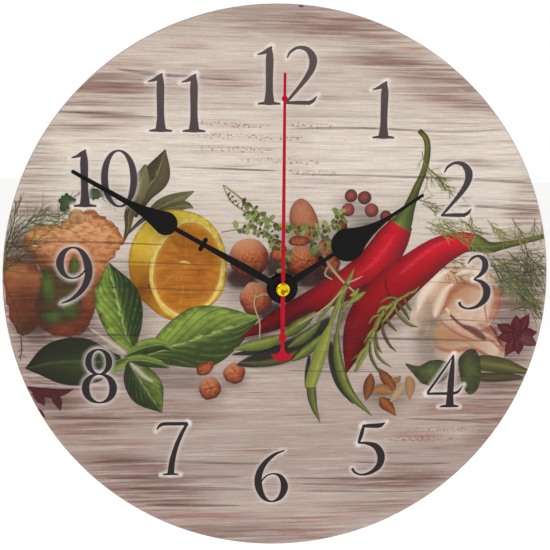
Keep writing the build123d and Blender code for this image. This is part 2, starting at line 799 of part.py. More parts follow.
with BuildPart() as hour_wheel:
    with BuildSketch(face_at(hour_wheel_depth)):
        add(toothed(axis, hour_module, hour_teeth, motion_pinion_teeth, hour_phase))
    extrude(amount=motion_thickness)
    rod(axis, hour_pipe_radius, hour_wheel_depth, hour_pipe_front)
    rod(axis, minute_tube_radius + pipe_play, hour_wheel_depth, hour_pipe_front,
        mode=Mode.SUBTRACT)
hour_wheel.part.label = "hour_wheel"
export_step(hour_wheel.part, "parts/hour_wheel.step")


# ================= Setting knob =================

setting_arbor_rear = knob_recess + knob_thickness - knob_socket

with BuildPart() as setting_knob:
    with BuildSketch(face_at(knob_recess)):
        with Locations(setting_centre):
            Circle(knob_radius)
            with PolarLocations(knob_radius, knob_ridges):
                Circle(knob_ridge_radius, mode=Mode.SUBTRACT)
    extrude(amount=knob_thickness)
    rod(setting_centre, setting_arbor_radius, setting_arbor_rear, knob_recess + knob_thickness,
        mode=Mode.SUBTRACT)
setting_knob.part.label = "setting_knob"
export_step(setting_knob.part, "parts/setting_knob.step")

with BuildPart() as setting_arbor:
    rod(setting_centre, setting_arbor_radius, setting_arbor_rear, motion_pinion_front)
    with BuildSketch(face_at(motion_depth - end_shake / 2)):
        add(toothed(setting_centre, minute_module, setting_pinion_teeth, motion_teeth,
                    setting_phase))
    extrude(amount=motion_thickness + end_shake)
    rod(setting_centre, pivot_radius, motion_pinion_front, motion_pivot_front)
setting_arbor.part.label = "setting_arbor"
export_step(setting_arbor.part, "parts/setting_arbor.step")


# ================= Battery =================

battery_left = spring_room - inner_right
battery_right = battery_left + battery_length
battery_shoulder = battery_right - battery_nub_length
can_radius = battery_diameter / 2 - battery_sleeve_thickness
can_left = battery_left + battery_seal_thickness


def across(radius, left, right, mode=Mode.ADD):
    """Round bar lying along X on the battery's axis, or its hole."""
    with Locations(Location(((left + right) / 2, -battery_depth, battery_z), (0, 90, 0))):
        Cylinder(radius, right - left, mode=mode)


with BuildPart() as battery_can:
    across(can_radius, can_left, battery_shoulder)
    across(battery_nub_radius, battery_shoulder, battery_right)
battery_can.part.label = "battery_can"
export_step(battery_can.part, "parts/battery_can.step")

with BuildPart() as battery_sleeve:
    across(can_radius + battery_sleeve_thickness, can_left, battery_shoulder)
    across(can_radius, can_left, battery_shoulder, mode=Mode.SUBTRACT)
battery_sleeve.part.label = "battery_sleeve"
export_step(battery_sleeve.part, "parts/battery_sleeve.step")

with BuildPart() as battery_seal:
    across(can_radius, battery_left, can_left)
battery_seal.part.label = "battery_seal"
export_step(battery_seal.part, "parts/battery_seal.step")


# ================= Hands =================
# Each hand is drawn pointing to 12, symmetric about its own centre line.


def both_sides(right_half):
    """Closed outline from the points of its right half."""
    return right_half + [(-x, y) for x, y in reversed(right_half)]


def spade(hub, length, arm_half, neck_half, bar, bar_reach, bulb, bulb_radius, flare_angle,
          flare_end, rod_half, tip_half):
    """Outline of a spade hand: hub, arm, cross-bar, neck, bulb, flare and rod."""
    start = around((0, bulb), bulb_radius, flare_angle)
    lead = around(start, bulb_radius / 2, flare_angle + 90)
    half_way = (flare_end + bulb + bulb_radius) / 2
    with BuildSketch(mode=Mode.PRIVATE) as outline:
        Circle(hub)
        with Locations((0, bar)):
            SlotCenterToCenter(2 * bar_reach, 2 * bar_radius)
        with Locations((0, bulb)):
            Circle(bulb_radius)
        with BuildLine():
            Polyline(*both_sides([
                (arm_half - arm_belly, 0), (arm_half, bar / 2), (arm_half - 2 * arm_belly, bar),
                (neck_half, bar + bar_radius), (neck_half, bulb),
            ]), close=True)
        make_face()
        with BuildLine():
            flare = Bezier(start, lead, (flare_swell * rod_half, half_way), (rod_half, flare_end))
            mirrored = mirror(flare, about=Plane.YZ)
            Line(flare @ 0, (-start[0], start[1]))
            Line(flare @ 1, (-rod_half, flare_end))
        make_face()
        with BuildLine():
            Polyline(*both_sides([(rod_half, flare_end), (tip_half, length - tip_half)]),
                     close=True)
        make_face()
        with Locations((0, length - tip_half)):
            Circle(tip_half)
    return outline.sketch


with BuildPart() as hour_hand:
    with BuildSketch(face_at(hour_hand_depth, hour_angle)):
        add(spade(hour_hub_radius, hour_length, hour_arm_half, hour_neck_half, hour_bar,
                  hour_bar_reach, hour_bulb, hour_bulb_radius, hour_flare_angle,
                  hour_flare_end, hour_rod_half, hour_tip_half))
    extrude(amount=hand_thickness)
    rod(axis, hour_pipe_radius + hour_collar_wall, hour_hand_depth - hour_collar_height,
        hour_hand_depth)
    rod(axis, hour_pipe_radius, hour_hand_depth - hour_collar_height,
        hour_hand_depth + hand_thickness, mode=Mode.SUBTRACT)
hour_hand.part.label = "hour_hand"
export_step(hour_hand.part, "parts/hour_hand.step")

with BuildPart() as minute_hand:
    with BuildSketch(face_at(minute_hand_depth, minute_angle)):
        add(spade(minute_hub_radius, minute_length, minute_arm_half, minute_neck_half,
                  minute_bar, minute_bar_reach, minute_bulb, minute_bulb_radius,
                  minute_flare_angle, minute_flare_end, minute_rod_half, minute_tip_half))
    extrude(amount=hand_thickness)
    rod(axis, minute_collar_radius, minute_hand_depth + hand_thickness, minute_collar_front)
    rod(axis, minute_tube_radius, minute_hand_depth, minute_collar_front, mode=Mode.SUBTRACT)
minute_hand.part.label = "minute_hand"
export_step(minute_hand.part, "parts/minute_hand.step")

with BuildPart() as second_hand:
    with BuildSketch(face_at(second_hand_depth, second_angle)):
        Circle(second_hub_radius)
        with Locations((0, second_bead)):
            Circle(second_bead_radius)
        with Locations((0, second_length - second_tip_half)):
            Circle(second_tip_half)
        with Locations((0, -second_tail_bead)):
            Ellipse(second_tail_bead_half, second_tail_bead_length / 2)
        with BuildLine():
            Polyline(*both_sides([
                (second_tip_half, second_length - second_tip_half), (second_hub_half, 0),
                (second_tail_half, 0), (second_tail_half, -second_tail_bead),
                (second_stem_half, -anchor_root),
            ]), close=True)
        make_face()
        # The counterweight is an anchor: hollow above, rounded below, with a small point.
        with BuildLine():
            upper = ThreePointArc(
                (second_stem_half, -anchor_root),
                (2 * second_stem_half, -anchor_top + anchor_tip_height),
                (anchor_half, -anchor_top),
            )
            Line(upper @ 1, (anchor_half, -anchor_top - anchor_tip_height))
            lower = ThreePointArc(
                (anchor_half, -anchor_top - anchor_tip_height),
                (anchor_shoulder_half, -anchor_base + anchor_tip_height),
                (anchor_point_half, -anchor_base),
            )
            Polyline(lower @ 1, (0, -second_tail), (0, -anchor_root), upper @ 0)
        make_face()
        mirror(about=Plane.YZ)
        Circle(cap_tube_radius, mode=Mode.SUBTRACT)
    extrude(amount=hand_thickness)
second_hand.part.label = "second_hand"
export_step(second_hand.part, "parts/second_hand.step")

dish_sphere = (cap_dish_radius**2 + cap_dish**2) / (2 * cap_dish)
dish_middle = cap_depth + cap_height - cap_dish + dish_sphere

with BuildPart() as hand_cap:
    rod(axis, cap_radius, cap_depth, cap_depth + cap_height)
    fillet(hand_cap.edges().group_by(Axis.Y)[0], radius=cap_height - cap_rim)
    with Locations((0, -dish_middle, 0)):
        Sphere(dish_sphere, mode=Mode.SUBTRACT)
    rod(axis, cap_tube_radius, second_hand_depth - cap_tube_length / 2, cap_depth)
    rod(axis, seconds_arbor_radius, second_hand_depth - cap_tube_length / 2,
        seconds_arbor_front, mode=Mode.SUBTRACT)
hand_cap.part.label = "hand_cap"
export_step(hand_cap.part, "parts/hand_cap.step")
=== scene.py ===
"""Looks for a wall clock: its kitchen print, the numerals, the hands and the movement."""

import json
import math

import bmesh
import bpy
from mathutils import Matrix, Vector, noise


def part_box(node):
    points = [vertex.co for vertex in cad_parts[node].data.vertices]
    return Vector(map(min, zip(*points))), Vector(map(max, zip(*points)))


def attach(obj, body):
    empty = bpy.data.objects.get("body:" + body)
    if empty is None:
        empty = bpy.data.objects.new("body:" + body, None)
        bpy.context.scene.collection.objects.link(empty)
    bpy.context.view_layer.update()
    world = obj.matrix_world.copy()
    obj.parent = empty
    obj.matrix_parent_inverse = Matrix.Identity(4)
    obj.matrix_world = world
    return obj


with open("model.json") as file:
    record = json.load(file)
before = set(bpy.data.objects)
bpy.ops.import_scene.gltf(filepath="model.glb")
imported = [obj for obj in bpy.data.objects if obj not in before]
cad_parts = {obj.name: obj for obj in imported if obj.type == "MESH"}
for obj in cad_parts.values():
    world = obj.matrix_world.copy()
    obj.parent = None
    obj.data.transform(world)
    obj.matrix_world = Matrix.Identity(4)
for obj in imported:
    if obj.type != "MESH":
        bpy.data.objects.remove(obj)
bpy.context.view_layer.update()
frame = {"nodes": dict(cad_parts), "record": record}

bl_info = {
    "name": "Printed wall clock",
    "version": (1, 0, 0),
    "blender": (4, 5, 0),
    "location": "View3D > Sidebar > Clock",
    "description": "Finishes a printed kitchen wall clock round its packed model",
    "category": "Object",
}

MM = 0.001
PRINT_FACE = -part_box("dial_print")[0].y / MM  # how far the printed face stands off the wall
WASHER_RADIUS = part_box("brass_washer")[1].x / MM
LAYER = 0.012  # each printed group lies this far in front of the one below
LIFT = 0.0015  # and each shape within a group this far in front of the last
INK = 0.004  # thickness of an opaque printed shape
HUB_GAP = 0.4  # the print stops this far outside the washer
RIM_GAP = 0.1  # and this far inside the dial's edge
SLIVER = 1e-13  # faces smaller than this many square metres are dropped
DRAWN_SPAN = 150  # height in mm that a fall of light is spread over
DIAL_SPAN = 300  # height in mm of the whole dial
LIT_SIDE = (-0.3, 0.95)  # where the light falls from in the still life


# ---------------------------------------------------------------- helpers


def linear(code):
    """An sRGB hex colour as linear red, green, blue and 1."""
    parts = [int(code[i : i + 2], 16) / 255 for i in (1, 3, 5)]
    return tuple(
        c / 12.92 if c <= 0.04045 else ((c + 0.055) / 1.055) ** 2.4 for c in parts
    ) + (1.0,)


def feed(tree, node, inputs):
    """Links or sets a node's inputs; a node given as a value stands for its first output."""
    for key, value in inputs.items():
        if isinstance(value, bpy.types.Node):
            value = next(out for out in value.outputs if out.enabled)
        if isinstance(value, bpy.types.NodeSocket):
            tree.links.new(value, node.inputs[key])
        else:
            node.inputs[key].default_value = value


def add(tree, kind, inputs=None, **settings):
    """Adds a node with its settings, and links or sets its inputs."""
    made = tree.nodes.new(kind)
    for key, value in settings.items():
        setattr(made, key, value)
    feed(tree, made, inputs or {})
    return made


def stops(ramp, colours):
    """Fills a colour ramp from (position, hex or linear colour) pairs and returns its output."""
    band = ramp.color_ramp
    while len(band.elements) > 1:
        band.elements.remove(band.elements[-1])
    for i, (place, colour) in enumerate(colours):
        stop = band.elements[0] if i == 0 else band.elements.new(place)
        stop.position = place
        stop.color = linear(colour) if isinstance(colour, str) else (*colour, 1.0)
    return ramp.outputs["Color"]


def blank(name):
    """A new material with only its output and a Principled shader."""
    made = bpy.data.materials.new(name)
    made.use_nodes = True
    tree = made.node_tree
    tree.nodes.clear()
    shader = add(tree, "ShaderNodeBsdfPrincipled")
    add(tree, "ShaderNodeOutputMaterial", {"Surface": shader})
    return made, tree, shader


def place(tree, stretch, offset=(0, 0, 0)):
    """Object coordinates stretched so that one pattern unit is so many millimetres on each axis."""
    here = add(tree, "ShaderNodeTexCoord").outputs["Object"]
    return add(
        tree,
        "ShaderNodeMapping",
        {"Vector": here, "Scale": [1 / (s * MM) for s in stretch], "Location": offset},
    )


def curve_through(points, count, closed=False):
    """Points along a smooth line through the given ones; each is (x, z, half width)."""
    pts = [Vector(p) for p in points]
    spans = len(pts) if closed else len(pts) - 1
    made = []
    for i in range(count + (0 if closed else 1)):
        t = i / count * spans
        k = min(int(t), spans - 1)
        f = t - k
        if closed:
            a, b, c, d = (pts[(k + j) % len(pts)] for j in (-1, 0, 1, 2))
        else:
            b, c = pts[k], pts[k + 1]
            a = pts[k - 1] if k else b * 2 - c
            d = pts[k + 2] if k + 2 < len(pts) else c * 2 - b
        made.append(
            0.5
            * (
                2 * b
                + (c - a) * f
                + (2 * a - 5 * b + 4 * c - d) * f**2
                + (3 * b - a - 3 * c + d) * f**3
            )
        )
    return made


class Film:
    """Printed shapes in one mesh. UV holds (along, across); tone and cover are per point, and tone
    carries painted light and shade.
    """

    def __init__(self, layer):
        self.shape = bmesh.new()
        self.uv = self.shape.loops.layers.uv.new("UVMap")
        self.tone = self.shape.verts.layers.float.new("tone")
        self.cover = self.shape.verts.layers.float.new("cover")
        self.depth = PRINT_FACE + layer * LAYER
        self.count = 0

    def _grid(self, along, across, put, tone, lift):
        self.count += 1
        depth = self.depth + LIFT * (self.count if lift is None else lift)
        made = bmesh.ops.create_grid(
            self.shape, x_segments=along, y_segments=across, size=0.5, calc_uvs=True
        )["verts"]
        for v in made:
            u, w = v.co.x + 0.5, v.co.y + 0.5
            x, z, cover, shade = put(u, w)
            v.co = (x * MM, -depth * MM, z * MM)
            v[self.tone], v[self.cover] = tone + shade, cover
        faces = list(dict.fromkeys(f for v in made for f in v.link_faces))
        for f in faces:
            f.normal_update()
        back = [f for f in faces if f.normal.y > 0]
        bmesh.ops.reverse_faces(self.shape, faces=back)
        return made

    def ribbon(self, points, along=20, across=4, tone=0.5, lift=None, ends=0.12, closed=False):
        """A band along a smooth line, with its own half width at each point."""
        line = curve_through(points, along, closed)
        if closed:
            line.append(line[0])

        def put(u, w):
            i = min(int(u * along + 0.5), along)
            here = line[i]
            before = line[i - 1] if i else (line[-2] if closed else here)
            after = line[i + 1] if i < along else (line[1] if closed else here)
            run = Vector((after.x - before.x, after.y - before.y))
            run = run.normalized() if run.length > 1e-9 else Vector((1, 0))
            side = (w - 0.5) * 2
            half = max(here.z, 0.02)
            edge = 1 - abs(side)
            end = 1 if closed else min(1, min(u, 1 - u) / ends) if ends else 1
            return here.x - run.y * half * side, here.y + run.x * half * side, edge * end, 0.0

        return self._grid(along, across, put, tone, lift)

    def patch(self, outline, centre=None, around=48, rings=6, tone=0.5, lift=None, rough=0.0,
            pitch=4.0, bulge=0.0):
        """A filled shape in a smooth outline; across is 0 at its middle and 1 at its rim.

        A bulge lightens the side towards the light and darkens the other, as on a round thing.
        """
        rim = curve_through([(x, z, 0) for x, z in outline], around, True)
        if centre is None:
            centre = [sum(p[k] for p in rim) / len(rim) for k in (0, 1)]
        rim.append(rim[0])

        def put(u, w):
            p = rim[min(int(u * around + 0.5), around)]
            sway = rough * noise.noise(Vector((p.x / pitch, p.y / pitch, self.count))) * w
            x = centre[0] + (p.x - centre[0]) * w
            z = centre[1] + (p.y - centre[1]) * w
            reach = max(math.hypot(p.x - centre[0], p.y - centre[1]), 1e-6)
            x += (p.x - centre[0]) / reach * sway
            z += (p.y - centre[1]) / reach * sway
            facing = (LIT_SIDE[0] * (p.x - centre[0]) + LIT_SIDE[1] * (p.y - centre[1])) / reach
            return x, z, 1 - w, bulge * w * facing

        made = self._grid(around, rings, put, tone, lift)
        bmesh.ops.remove_doubles(self.shape, verts=made, dist=1e-7)

    def oval(self, x, z, rx, rz, turn=0.0, **how):
        """A patch with an oval outline, turned by so many degrees."""
        c, s = math.cos(math.radians(turn)), math.sin(math.radians(turn))
        ring = [
            (rx * math.cos(a), rz * math.sin(a))
            for a in (k * math.pi / 6 for k in range(12))
        ]
        self.patch([(x + p * c - q * s, z + p * s + q * c) for p, q in ring], (x, z), **how)

    def finish(self, name, material, sheet=False):
        """Cuts the middle out, closes the shapes unless they are a sheet, and makes the piece."""
        shape = self.shape
        hub = (WASHER_RADIUS + HUB_GAP) * MM
        inside = [v for v in shape.verts if math.hypot(v.co.x, v.co.z) < hub]
        bmesh.ops.delete(shape, geom=inside, context="VERTS")
        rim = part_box("dial_print")[1].x - RIM_GAP * MM
        for v in shape.verts:
            out = math.hypot(v.co.x, v.co.z)
            if out > rim:
                v.co.x *= rim / out
                v.co.z *= rim / out
        flat = [f for f in shape.faces if f.calc_area() < SLIVER]
        bmesh.ops.delete(shape, geom=flat, context="FACES")
        if not sheet:
            bmesh.ops.solidify(shape, geom=shape.faces[:], thickness=INK * MM)
        mesh = bpy.data.meshes.new(name)
        shape.to_mesh(mesh)
        shape.free()
        piece = bpy.data.objects.new(name, mesh)
        bpy.context.scene.collection.objects.link(piece)
        mesh.materials.append(material)
        # ink lies in the print and throws no shadow on it
        piece.visible_shadow = False
        if sheet:
            piece.visible_diffuse = piece.visible_glossy = False
        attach(piece, "movement")
        return piece


# ---------------------------------------------------------------- print finishes


def grain_group():
    """Long fine lines of brushed, weathered boards, shared by everything printed on them."""
    found = bpy.data.node_groups.get("Board grain")
    if found:
        return found
    tree = bpy.data.node_groups.new("Board grain", "ShaderNodeTree")
    tree.interface.new_socket("Lines", in_out="OUTPUT", socket_type="NodeSocketFloat")
    tree.interface.new_socket("Streaks", in_out="OUTPUT", socket_type="NodeSocketFloat")
    out = add(tree, "NodeGroupOutput")
    # grain lines about 1 mm apart and 40 mm long
    fine = add(tree, "ShaderNodeTexNoise", {"Vector": place(tree, (38, 10, 0.9)), "Scale": 1.0,
        "Detail": 5.0, "Roughness": 0.66})
    sharp = add(tree, "ShaderNodeMapRange", {"Value": fine, "From Min": 0.52, "From Max": 0.72})
    # they come and go in stretches about 60 mm long
    patchy = add(tree, "ShaderNodeTexNoise", {"Vector": place(tree, (60, 10, 9), (3, 0, 7)),
        "Scale": 1.0, "Detail": 2.0})
    where = add(tree, "ShaderNodeMapRange", {"Value": patchy, "From Min": 0.38, "From Max": 0.62})
    lines = add(tree, "ShaderNodeMath", {0: sharp, 1: where}, operation="MULTIPLY")
    feed(tree, out, {"Lines": lines})
    wide = add(tree, "ShaderNodeTexNoise", {"Vector": place(tree, (74, 10, 1.9), (9, 0, 2)),
        "Scale": 1.0, "Detail": 9.0, "Roughness": 0.66})
    feed(tree, out, {"Streaks": wide})
    return tree


def under_grain(tree, colour, amount):
    """Lays the boards' grain lines over a printed colour."""
    grain = add(tree, "ShaderNodeGroup", node_tree=grain_group())
    much = add(tree, "ShaderNodeMath", {0: grain.outputs["Lines"], 1: amount}, operation="MULTIPLY")
    dark = add(tree, "ShaderNodeMix", {"Factor": much, "A": colour, "B": linear("#5B453C")},
        data_type="RGBA", blend_type="MULTIPLY")
    return dark, grain


def film_surface(tree, shader, grain):
    """The satin laminate over the print: soft gloss, with the grain just felt in it."""
    shine = add(tree, "ShaderNodeMapRange", {"Value": grain.outputs["Streaks"], "To Min": 0.44,
        "To Max": 0.58})
    relief = add(tree, "ShaderNodeBump", {"Height": grain.outputs["Lines"], "Strength": 0.12,
        "Distance": 0.05 * MM})
    feed(tree, shader, {"Roughness": shine, "Normal": relief.outputs["Normal"], "IOR": 1.5,
        "Specular IOR Level": 0.18})


def printed_ink(name, across, mottle, along=None, light="#FFFFFF", veins=None, grain=0.55,
        stretch=1.0, sway=0.12, rays=None, down=None):
    """A printed colour that runs across and along the shape, mottled like the real skin or leaf;
    its ramps across and along and each point's tone also paint light and shade on the shape.

    Mottle is the colour of its spots, their share and their size in millimetres.
    """
    spot, spot_share, spot_mm = mottle
    made, tree, shader = blank(name)
    uv = add(tree, "ShaderNodeSeparateXYZ",
        {"Vector": add(tree, "ShaderNodeUVMap", uv_map="UVMap").outputs["UV"]})
    cloud = add(tree, "ShaderNodeTexNoise",
        {"Vector": place(tree, (spot_mm * stretch, 10, spot_mm)), "Scale": 1.0, "Detail": 4.0,
        "Roughness": 0.6})
    swing = add(tree, "ShaderNodeMath", {0: cloud, 1: 2 * sway, 2: -sway}, operation="MULTIPLY_ADD")
    moved = add(tree, "ShaderNodeMath", {0: uv.outputs["Y"], 1: swing}, operation="ADD")
    colour = stops(add(tree, "ShaderNodeValToRGB", {"Fac": moved}), across)
    if along:
        run = stops(add(tree, "ShaderNodeValToRGB", {"Fac": uv.outputs["X"]}), along)
        colour = add(tree, "ShaderNodeMix", {"Factor": 1.0, "A": colour, "B": run},
            data_type="RGBA", blend_type="MULTIPLY")
    if veins:
        # side veins leave the midrib at a slant
        code, number, slant, share = veins
        half = add(tree, "ShaderNodeMath", {0: uv.outputs["Y"], 1: 0.5}, operation="SUBTRACT")
        away = add(tree, "ShaderNodeMath", {0: half}, operation="ABSOLUTE")
        lean = add(tree, "ShaderNodeMath", {0: away, 1: -slant, 2: uv.outputs["X"]},
            operation="MULTIPLY_ADD")
        many = add(tree, "ShaderNodeMath", {0: lean, 1: number, 2: swing}, operation="MULTIPLY_ADD")
        wave = add(tree, "ShaderNodeMath", {0: many, 1: 1.0}, operation="PINGPONG")
        # between the veins, painted highlights in the light colour, broken up by the cloud
        ridge = add(tree, "ShaderNodeMapRange", {"Value": wave, "From Min": 0.6, "From Max": 0.0,
            "To Max": share * 0.34}, interpolation_type="SMOOTHSTEP")
        lit = add(tree, "ShaderNodeMapRange", {"Value": cloud, "From Min": 0.62, "From Max": 0.36,
            "To Max": 1.0})
        between_vein_highlight = add(tree, "ShaderNodeMath", {0: ridge, 1: lit}, operation="MULTIPLY")
        colour = add(tree, "ShaderNodeMix", {"Factor": between_vein_highlight, "A": colour, "B": linear(light)},
            data_type="RGBA")
        thin = add(tree, "ShaderNodeMapRange", {"Value": wave, "From Min": 0.72, "From Max": 1.0,
            "To Max": share}, interpolation_type="SMOOTHSTEP")
        colour = add(tree, "ShaderNodeMix", {"Factor": thin, "A": colour, "B": linear(code)},
            data_type="RGBA")
    if rays:
        # fibres run out from the middle of a cut fruit
        code, number, share = rays
        spoke = add(tree, "ShaderNodeMath", {0: uv.outputs["X"], 1: number}, operation="MULTIPLY")
        turned = add(tree, "ShaderNodeCombineXYZ", {"X": spoke, "Y": uv.outputs["Y"]})
        pulp = add(tree, "ShaderNodeTexNoise", {"Vector": turned, "Scale": 1.0, "Detail": 3.0,
            "Roughness": 0.7})
        fibre = add(tree, "ShaderNodeMapRange", {"Value": pulp, "From Min": 0.5, "From Max": 0.72,
            "To Max": share})
        colour = add(tree, "ShaderNodeMix", {"Factor": fibre, "A": colour, "B": linear(code)},
            data_type="RGBA")
    if down:
        # the light falls off towards the foot; each stop is at a height in millimetres
        up = add(tree, "ShaderNodeSeparateXYZ",
            {"Vector": place(tree, (DRAWN_SPAN,) * 3, (0.5, 0, 0.5))})
        fall = stops(add(tree, "ShaderNodeValToRGB", {"Fac": up.outputs["Z"]}),
            [(z / DRAWN_SPAN + 0.5, code) for z, code in down])
        colour = add(tree, "ShaderNodeMix", {"Factor": 1.0, "A": colour, "B": fall},
            data_type="RGBA", blend_type="MULTIPLY")
    spots = add(tree, "ShaderNodeMapRange", {"Value": cloud, "From Min": 0.42, "From Max": 0.68,
        "To Max": spot_share})
    colour = add(tree, "ShaderNodeMix", {"Factor": spots, "A": colour, "B": linear(spot)},
        data_type="RGBA")
    # each point's tone paints light and shade: a high tone mixes in the light colour as a painted
    # highlight, a low tone mixes in dark brown as painted shade
    tone = add(tree, "ShaderNodeAttribute", attribute_name="tone")
    bright = add(tree, "ShaderNodeMapRange", {"Value": tone.outputs["Fac"], "From Min": 0.5,
        "From Max": 1.0, "To Max": 0.6})
    colour = add(tree, "ShaderNodeMix", {"Factor": bright, "A": colour, "B": linear(light)},
        data_type="RGBA")
    dim = add(tree, "ShaderNodeMapRange", {"Value": tone.outputs["Fac"], "From Min": 0.5,
        "From Max": 0.0, "To Max": 0.75})
    colour = add(tree, "ShaderNodeMix", {"Factor": dim, "A": colour, "B": linear("#2A2220")},
        data_type="RGBA")
    colour, lines = under_grain(tree, colour, grain)
    feed(tree, shader, {"Base Color": colour})
    film_surface(tree, shader, lines)
    return made


def soft_ink(name, code, strength, full=0.8, uneven=0.0, specks=0.0):
    """A printed tint that fades out at its edges: a shadow, a stain, a glow or specks."""
    made, tree, shader = blank(name)
    cover = add(tree, "ShaderNodeAttribute", attribute_name="cover")
    fade = add(tree, "ShaderNodeMapRange", {"Value": cover.outputs["Fac"], "From Max": full,
        "To Max": strength}, interpolation_type="SMOOTHSTEP")
    alpha = fade
    if uneven:
        grain = add(tree, "ShaderNodeGroup", node_tree=grain_group())
        worn = add(tree, "ShaderNodeMapRange", {"Value": grain.outputs["Streaks"], "From Min": 0.42,
            "From Max": 0.6, "To Min": 1 - uneven, "To Max": 1.0})
        alpha = add(tree, "ShaderNodeMath", {0: alpha, 1: worn}, operation="MULTIPLY")
    if specks:
        dots = add(tree, "ShaderNodeTexNoise", {"Vector": place(tree, (specks * 1.6, 10, specks)),
            "Scale": 1.0, "Detail": 3.0, "Roughness": 0.75})
        left = add(tree, "ShaderNodeMapRange", {"Value": dots, "From Min": 0.53, "From Max": 0.6})
        alpha = add(tree, "ShaderNodeMath", {0: alpha, 1: left}, operation="MULTIPLY")
    feed(tree, shader, {"Alpha": alpha, "Base Color": linear(code), "Roughness": 0.5,
        "Specular IOR Level": 0.18})
    return made


def boards_ink(settings):
    """Printed whitewashed boards: chalky paint brushed along the grain, worn to pinkish wood."""
    made, tree, shader = blank("Printed whitewashed boards")
    up = add(tree, "ShaderNodeSeparateXYZ",
        {"Vector": place(tree, (DIAL_SPAN,) * 3, (0.5, 0, 0.5))})
    tone = stops(
        add(tree, "ShaderNodeValToRGB", {"Fac": up.outputs["Z"]}),
        [(0.0, "#AE9D95"), (0.08, "#B3A198"), (0.16, "#A6948B"), (0.26, "#AD9B90"),
        (0.38, "#B6A59B"), (0.55, "#C4B7AB"), (0.7, "#D5CABE"), (0.78, "#D3C7B9"),
        (0.86, "#BEAEA4"), (0.92, "#C6B8AB"), (1.0, "#A8958C")],
    )
    grain = add(tree, "ShaderNodeGroup", node_tree=grain_group())
    # bare wood shows through in long scuffs
    scuffs = add(tree, "ShaderNodeMapRange", {"Value": grain.outputs["Streaks"], "From Min": 0.52,
        "From Max": 0.68, "To Max": 0.62})
    worn = add(tree, "ShaderNodeMix", {"Factor": scuffs, "A": tone, "B": (*settings.bare_wood,
        1.0)}, data_type="RGBA")
    chalk = add(tree, "ShaderNodeMapRange", {"Value": grain.outputs["Streaks"], "From Min": 0.48,
        "From Max": 0.32, "To Max": 0.34})
    pale = add(tree, "ShaderNodeMix", {"Factor": chalk, "A": worn, "B": (*settings.chalk, 1.0)},
        data_type="RGBA")
    # cool grey smears about 80 mm long
    cool = add(tree, "ShaderNodeTexNoise", {"Vector": place(tree, (80, 10, 4), (4, 0, 4)),
        "Scale": 1.0, "Detail": 8.0, "Roughness": 0.7})
    streak = add(tree, "ShaderNodeMapRange", {"Value": cool, "From Min": 0.54, "From Max": 0.7,
        "To Max": 0.5})
    grey = add(tree, "ShaderNodeMix", {"Factor": streak, "A": pale, "B": linear("#9C8F92")},
        data_type="RGBA")
    # brush hairs about half a millimetre apart
    hairs = add(tree, "ShaderNodeTexNoise", {"Vector": place(tree, (16, 10, 0.55)), "Scale": 1.0,
        "Detail": 3.0, "Roughness": 0.75})
    hair = add(tree, "ShaderNodeMapRange", {"Value": hairs, "From Min": 0.3, "From Max": 0.7,
        "To Min": 0.8, "To Max": 1.14})
    brushed = add(tree, "ShaderNodeMix", {"Factor": 1.0, "A": grey, "B": hair}, data_type="RGBA",
        blend_type="MULTIPLY")
    # and the pores of the paint, about a millimetre across
    pores = add(tree, "ShaderNodeTexNoise", {"Vector": place(tree, (1.7, 10, 1.1)), "Scale": 1.0,
        "Detail": 4.0, "Roughness": 0.8})
    pore = add(tree, "ShaderNodeMapRange", {"Value": pores, "From Min": 0.35, "From Max": 0.65,
        "To Min": 0.94, "To Max": 1.05})
    flecked = add(tree, "ShaderNodeMix", {"Factor": 1.0, "A": brushed, "B": pore}, data_type="RGBA",
        blend_type="MULTIPLY")
    much = add(tree, "ShaderNodeMath", {0: grain.outputs["Lines"], 1: 0.7}, operation="MULTIPLY")
    lined = add(tree, "ShaderNodeMix", {"Factor": much, "A": flecked, "B": linear("#84655B")},
        data_type="RGBA", blend_type="MULTIPLY")
    feed(tree, shader, {"Base Color": lined})
    film_surface(tree, shader, grain)
    return made


# ---------------------------------------------------------------- print groups


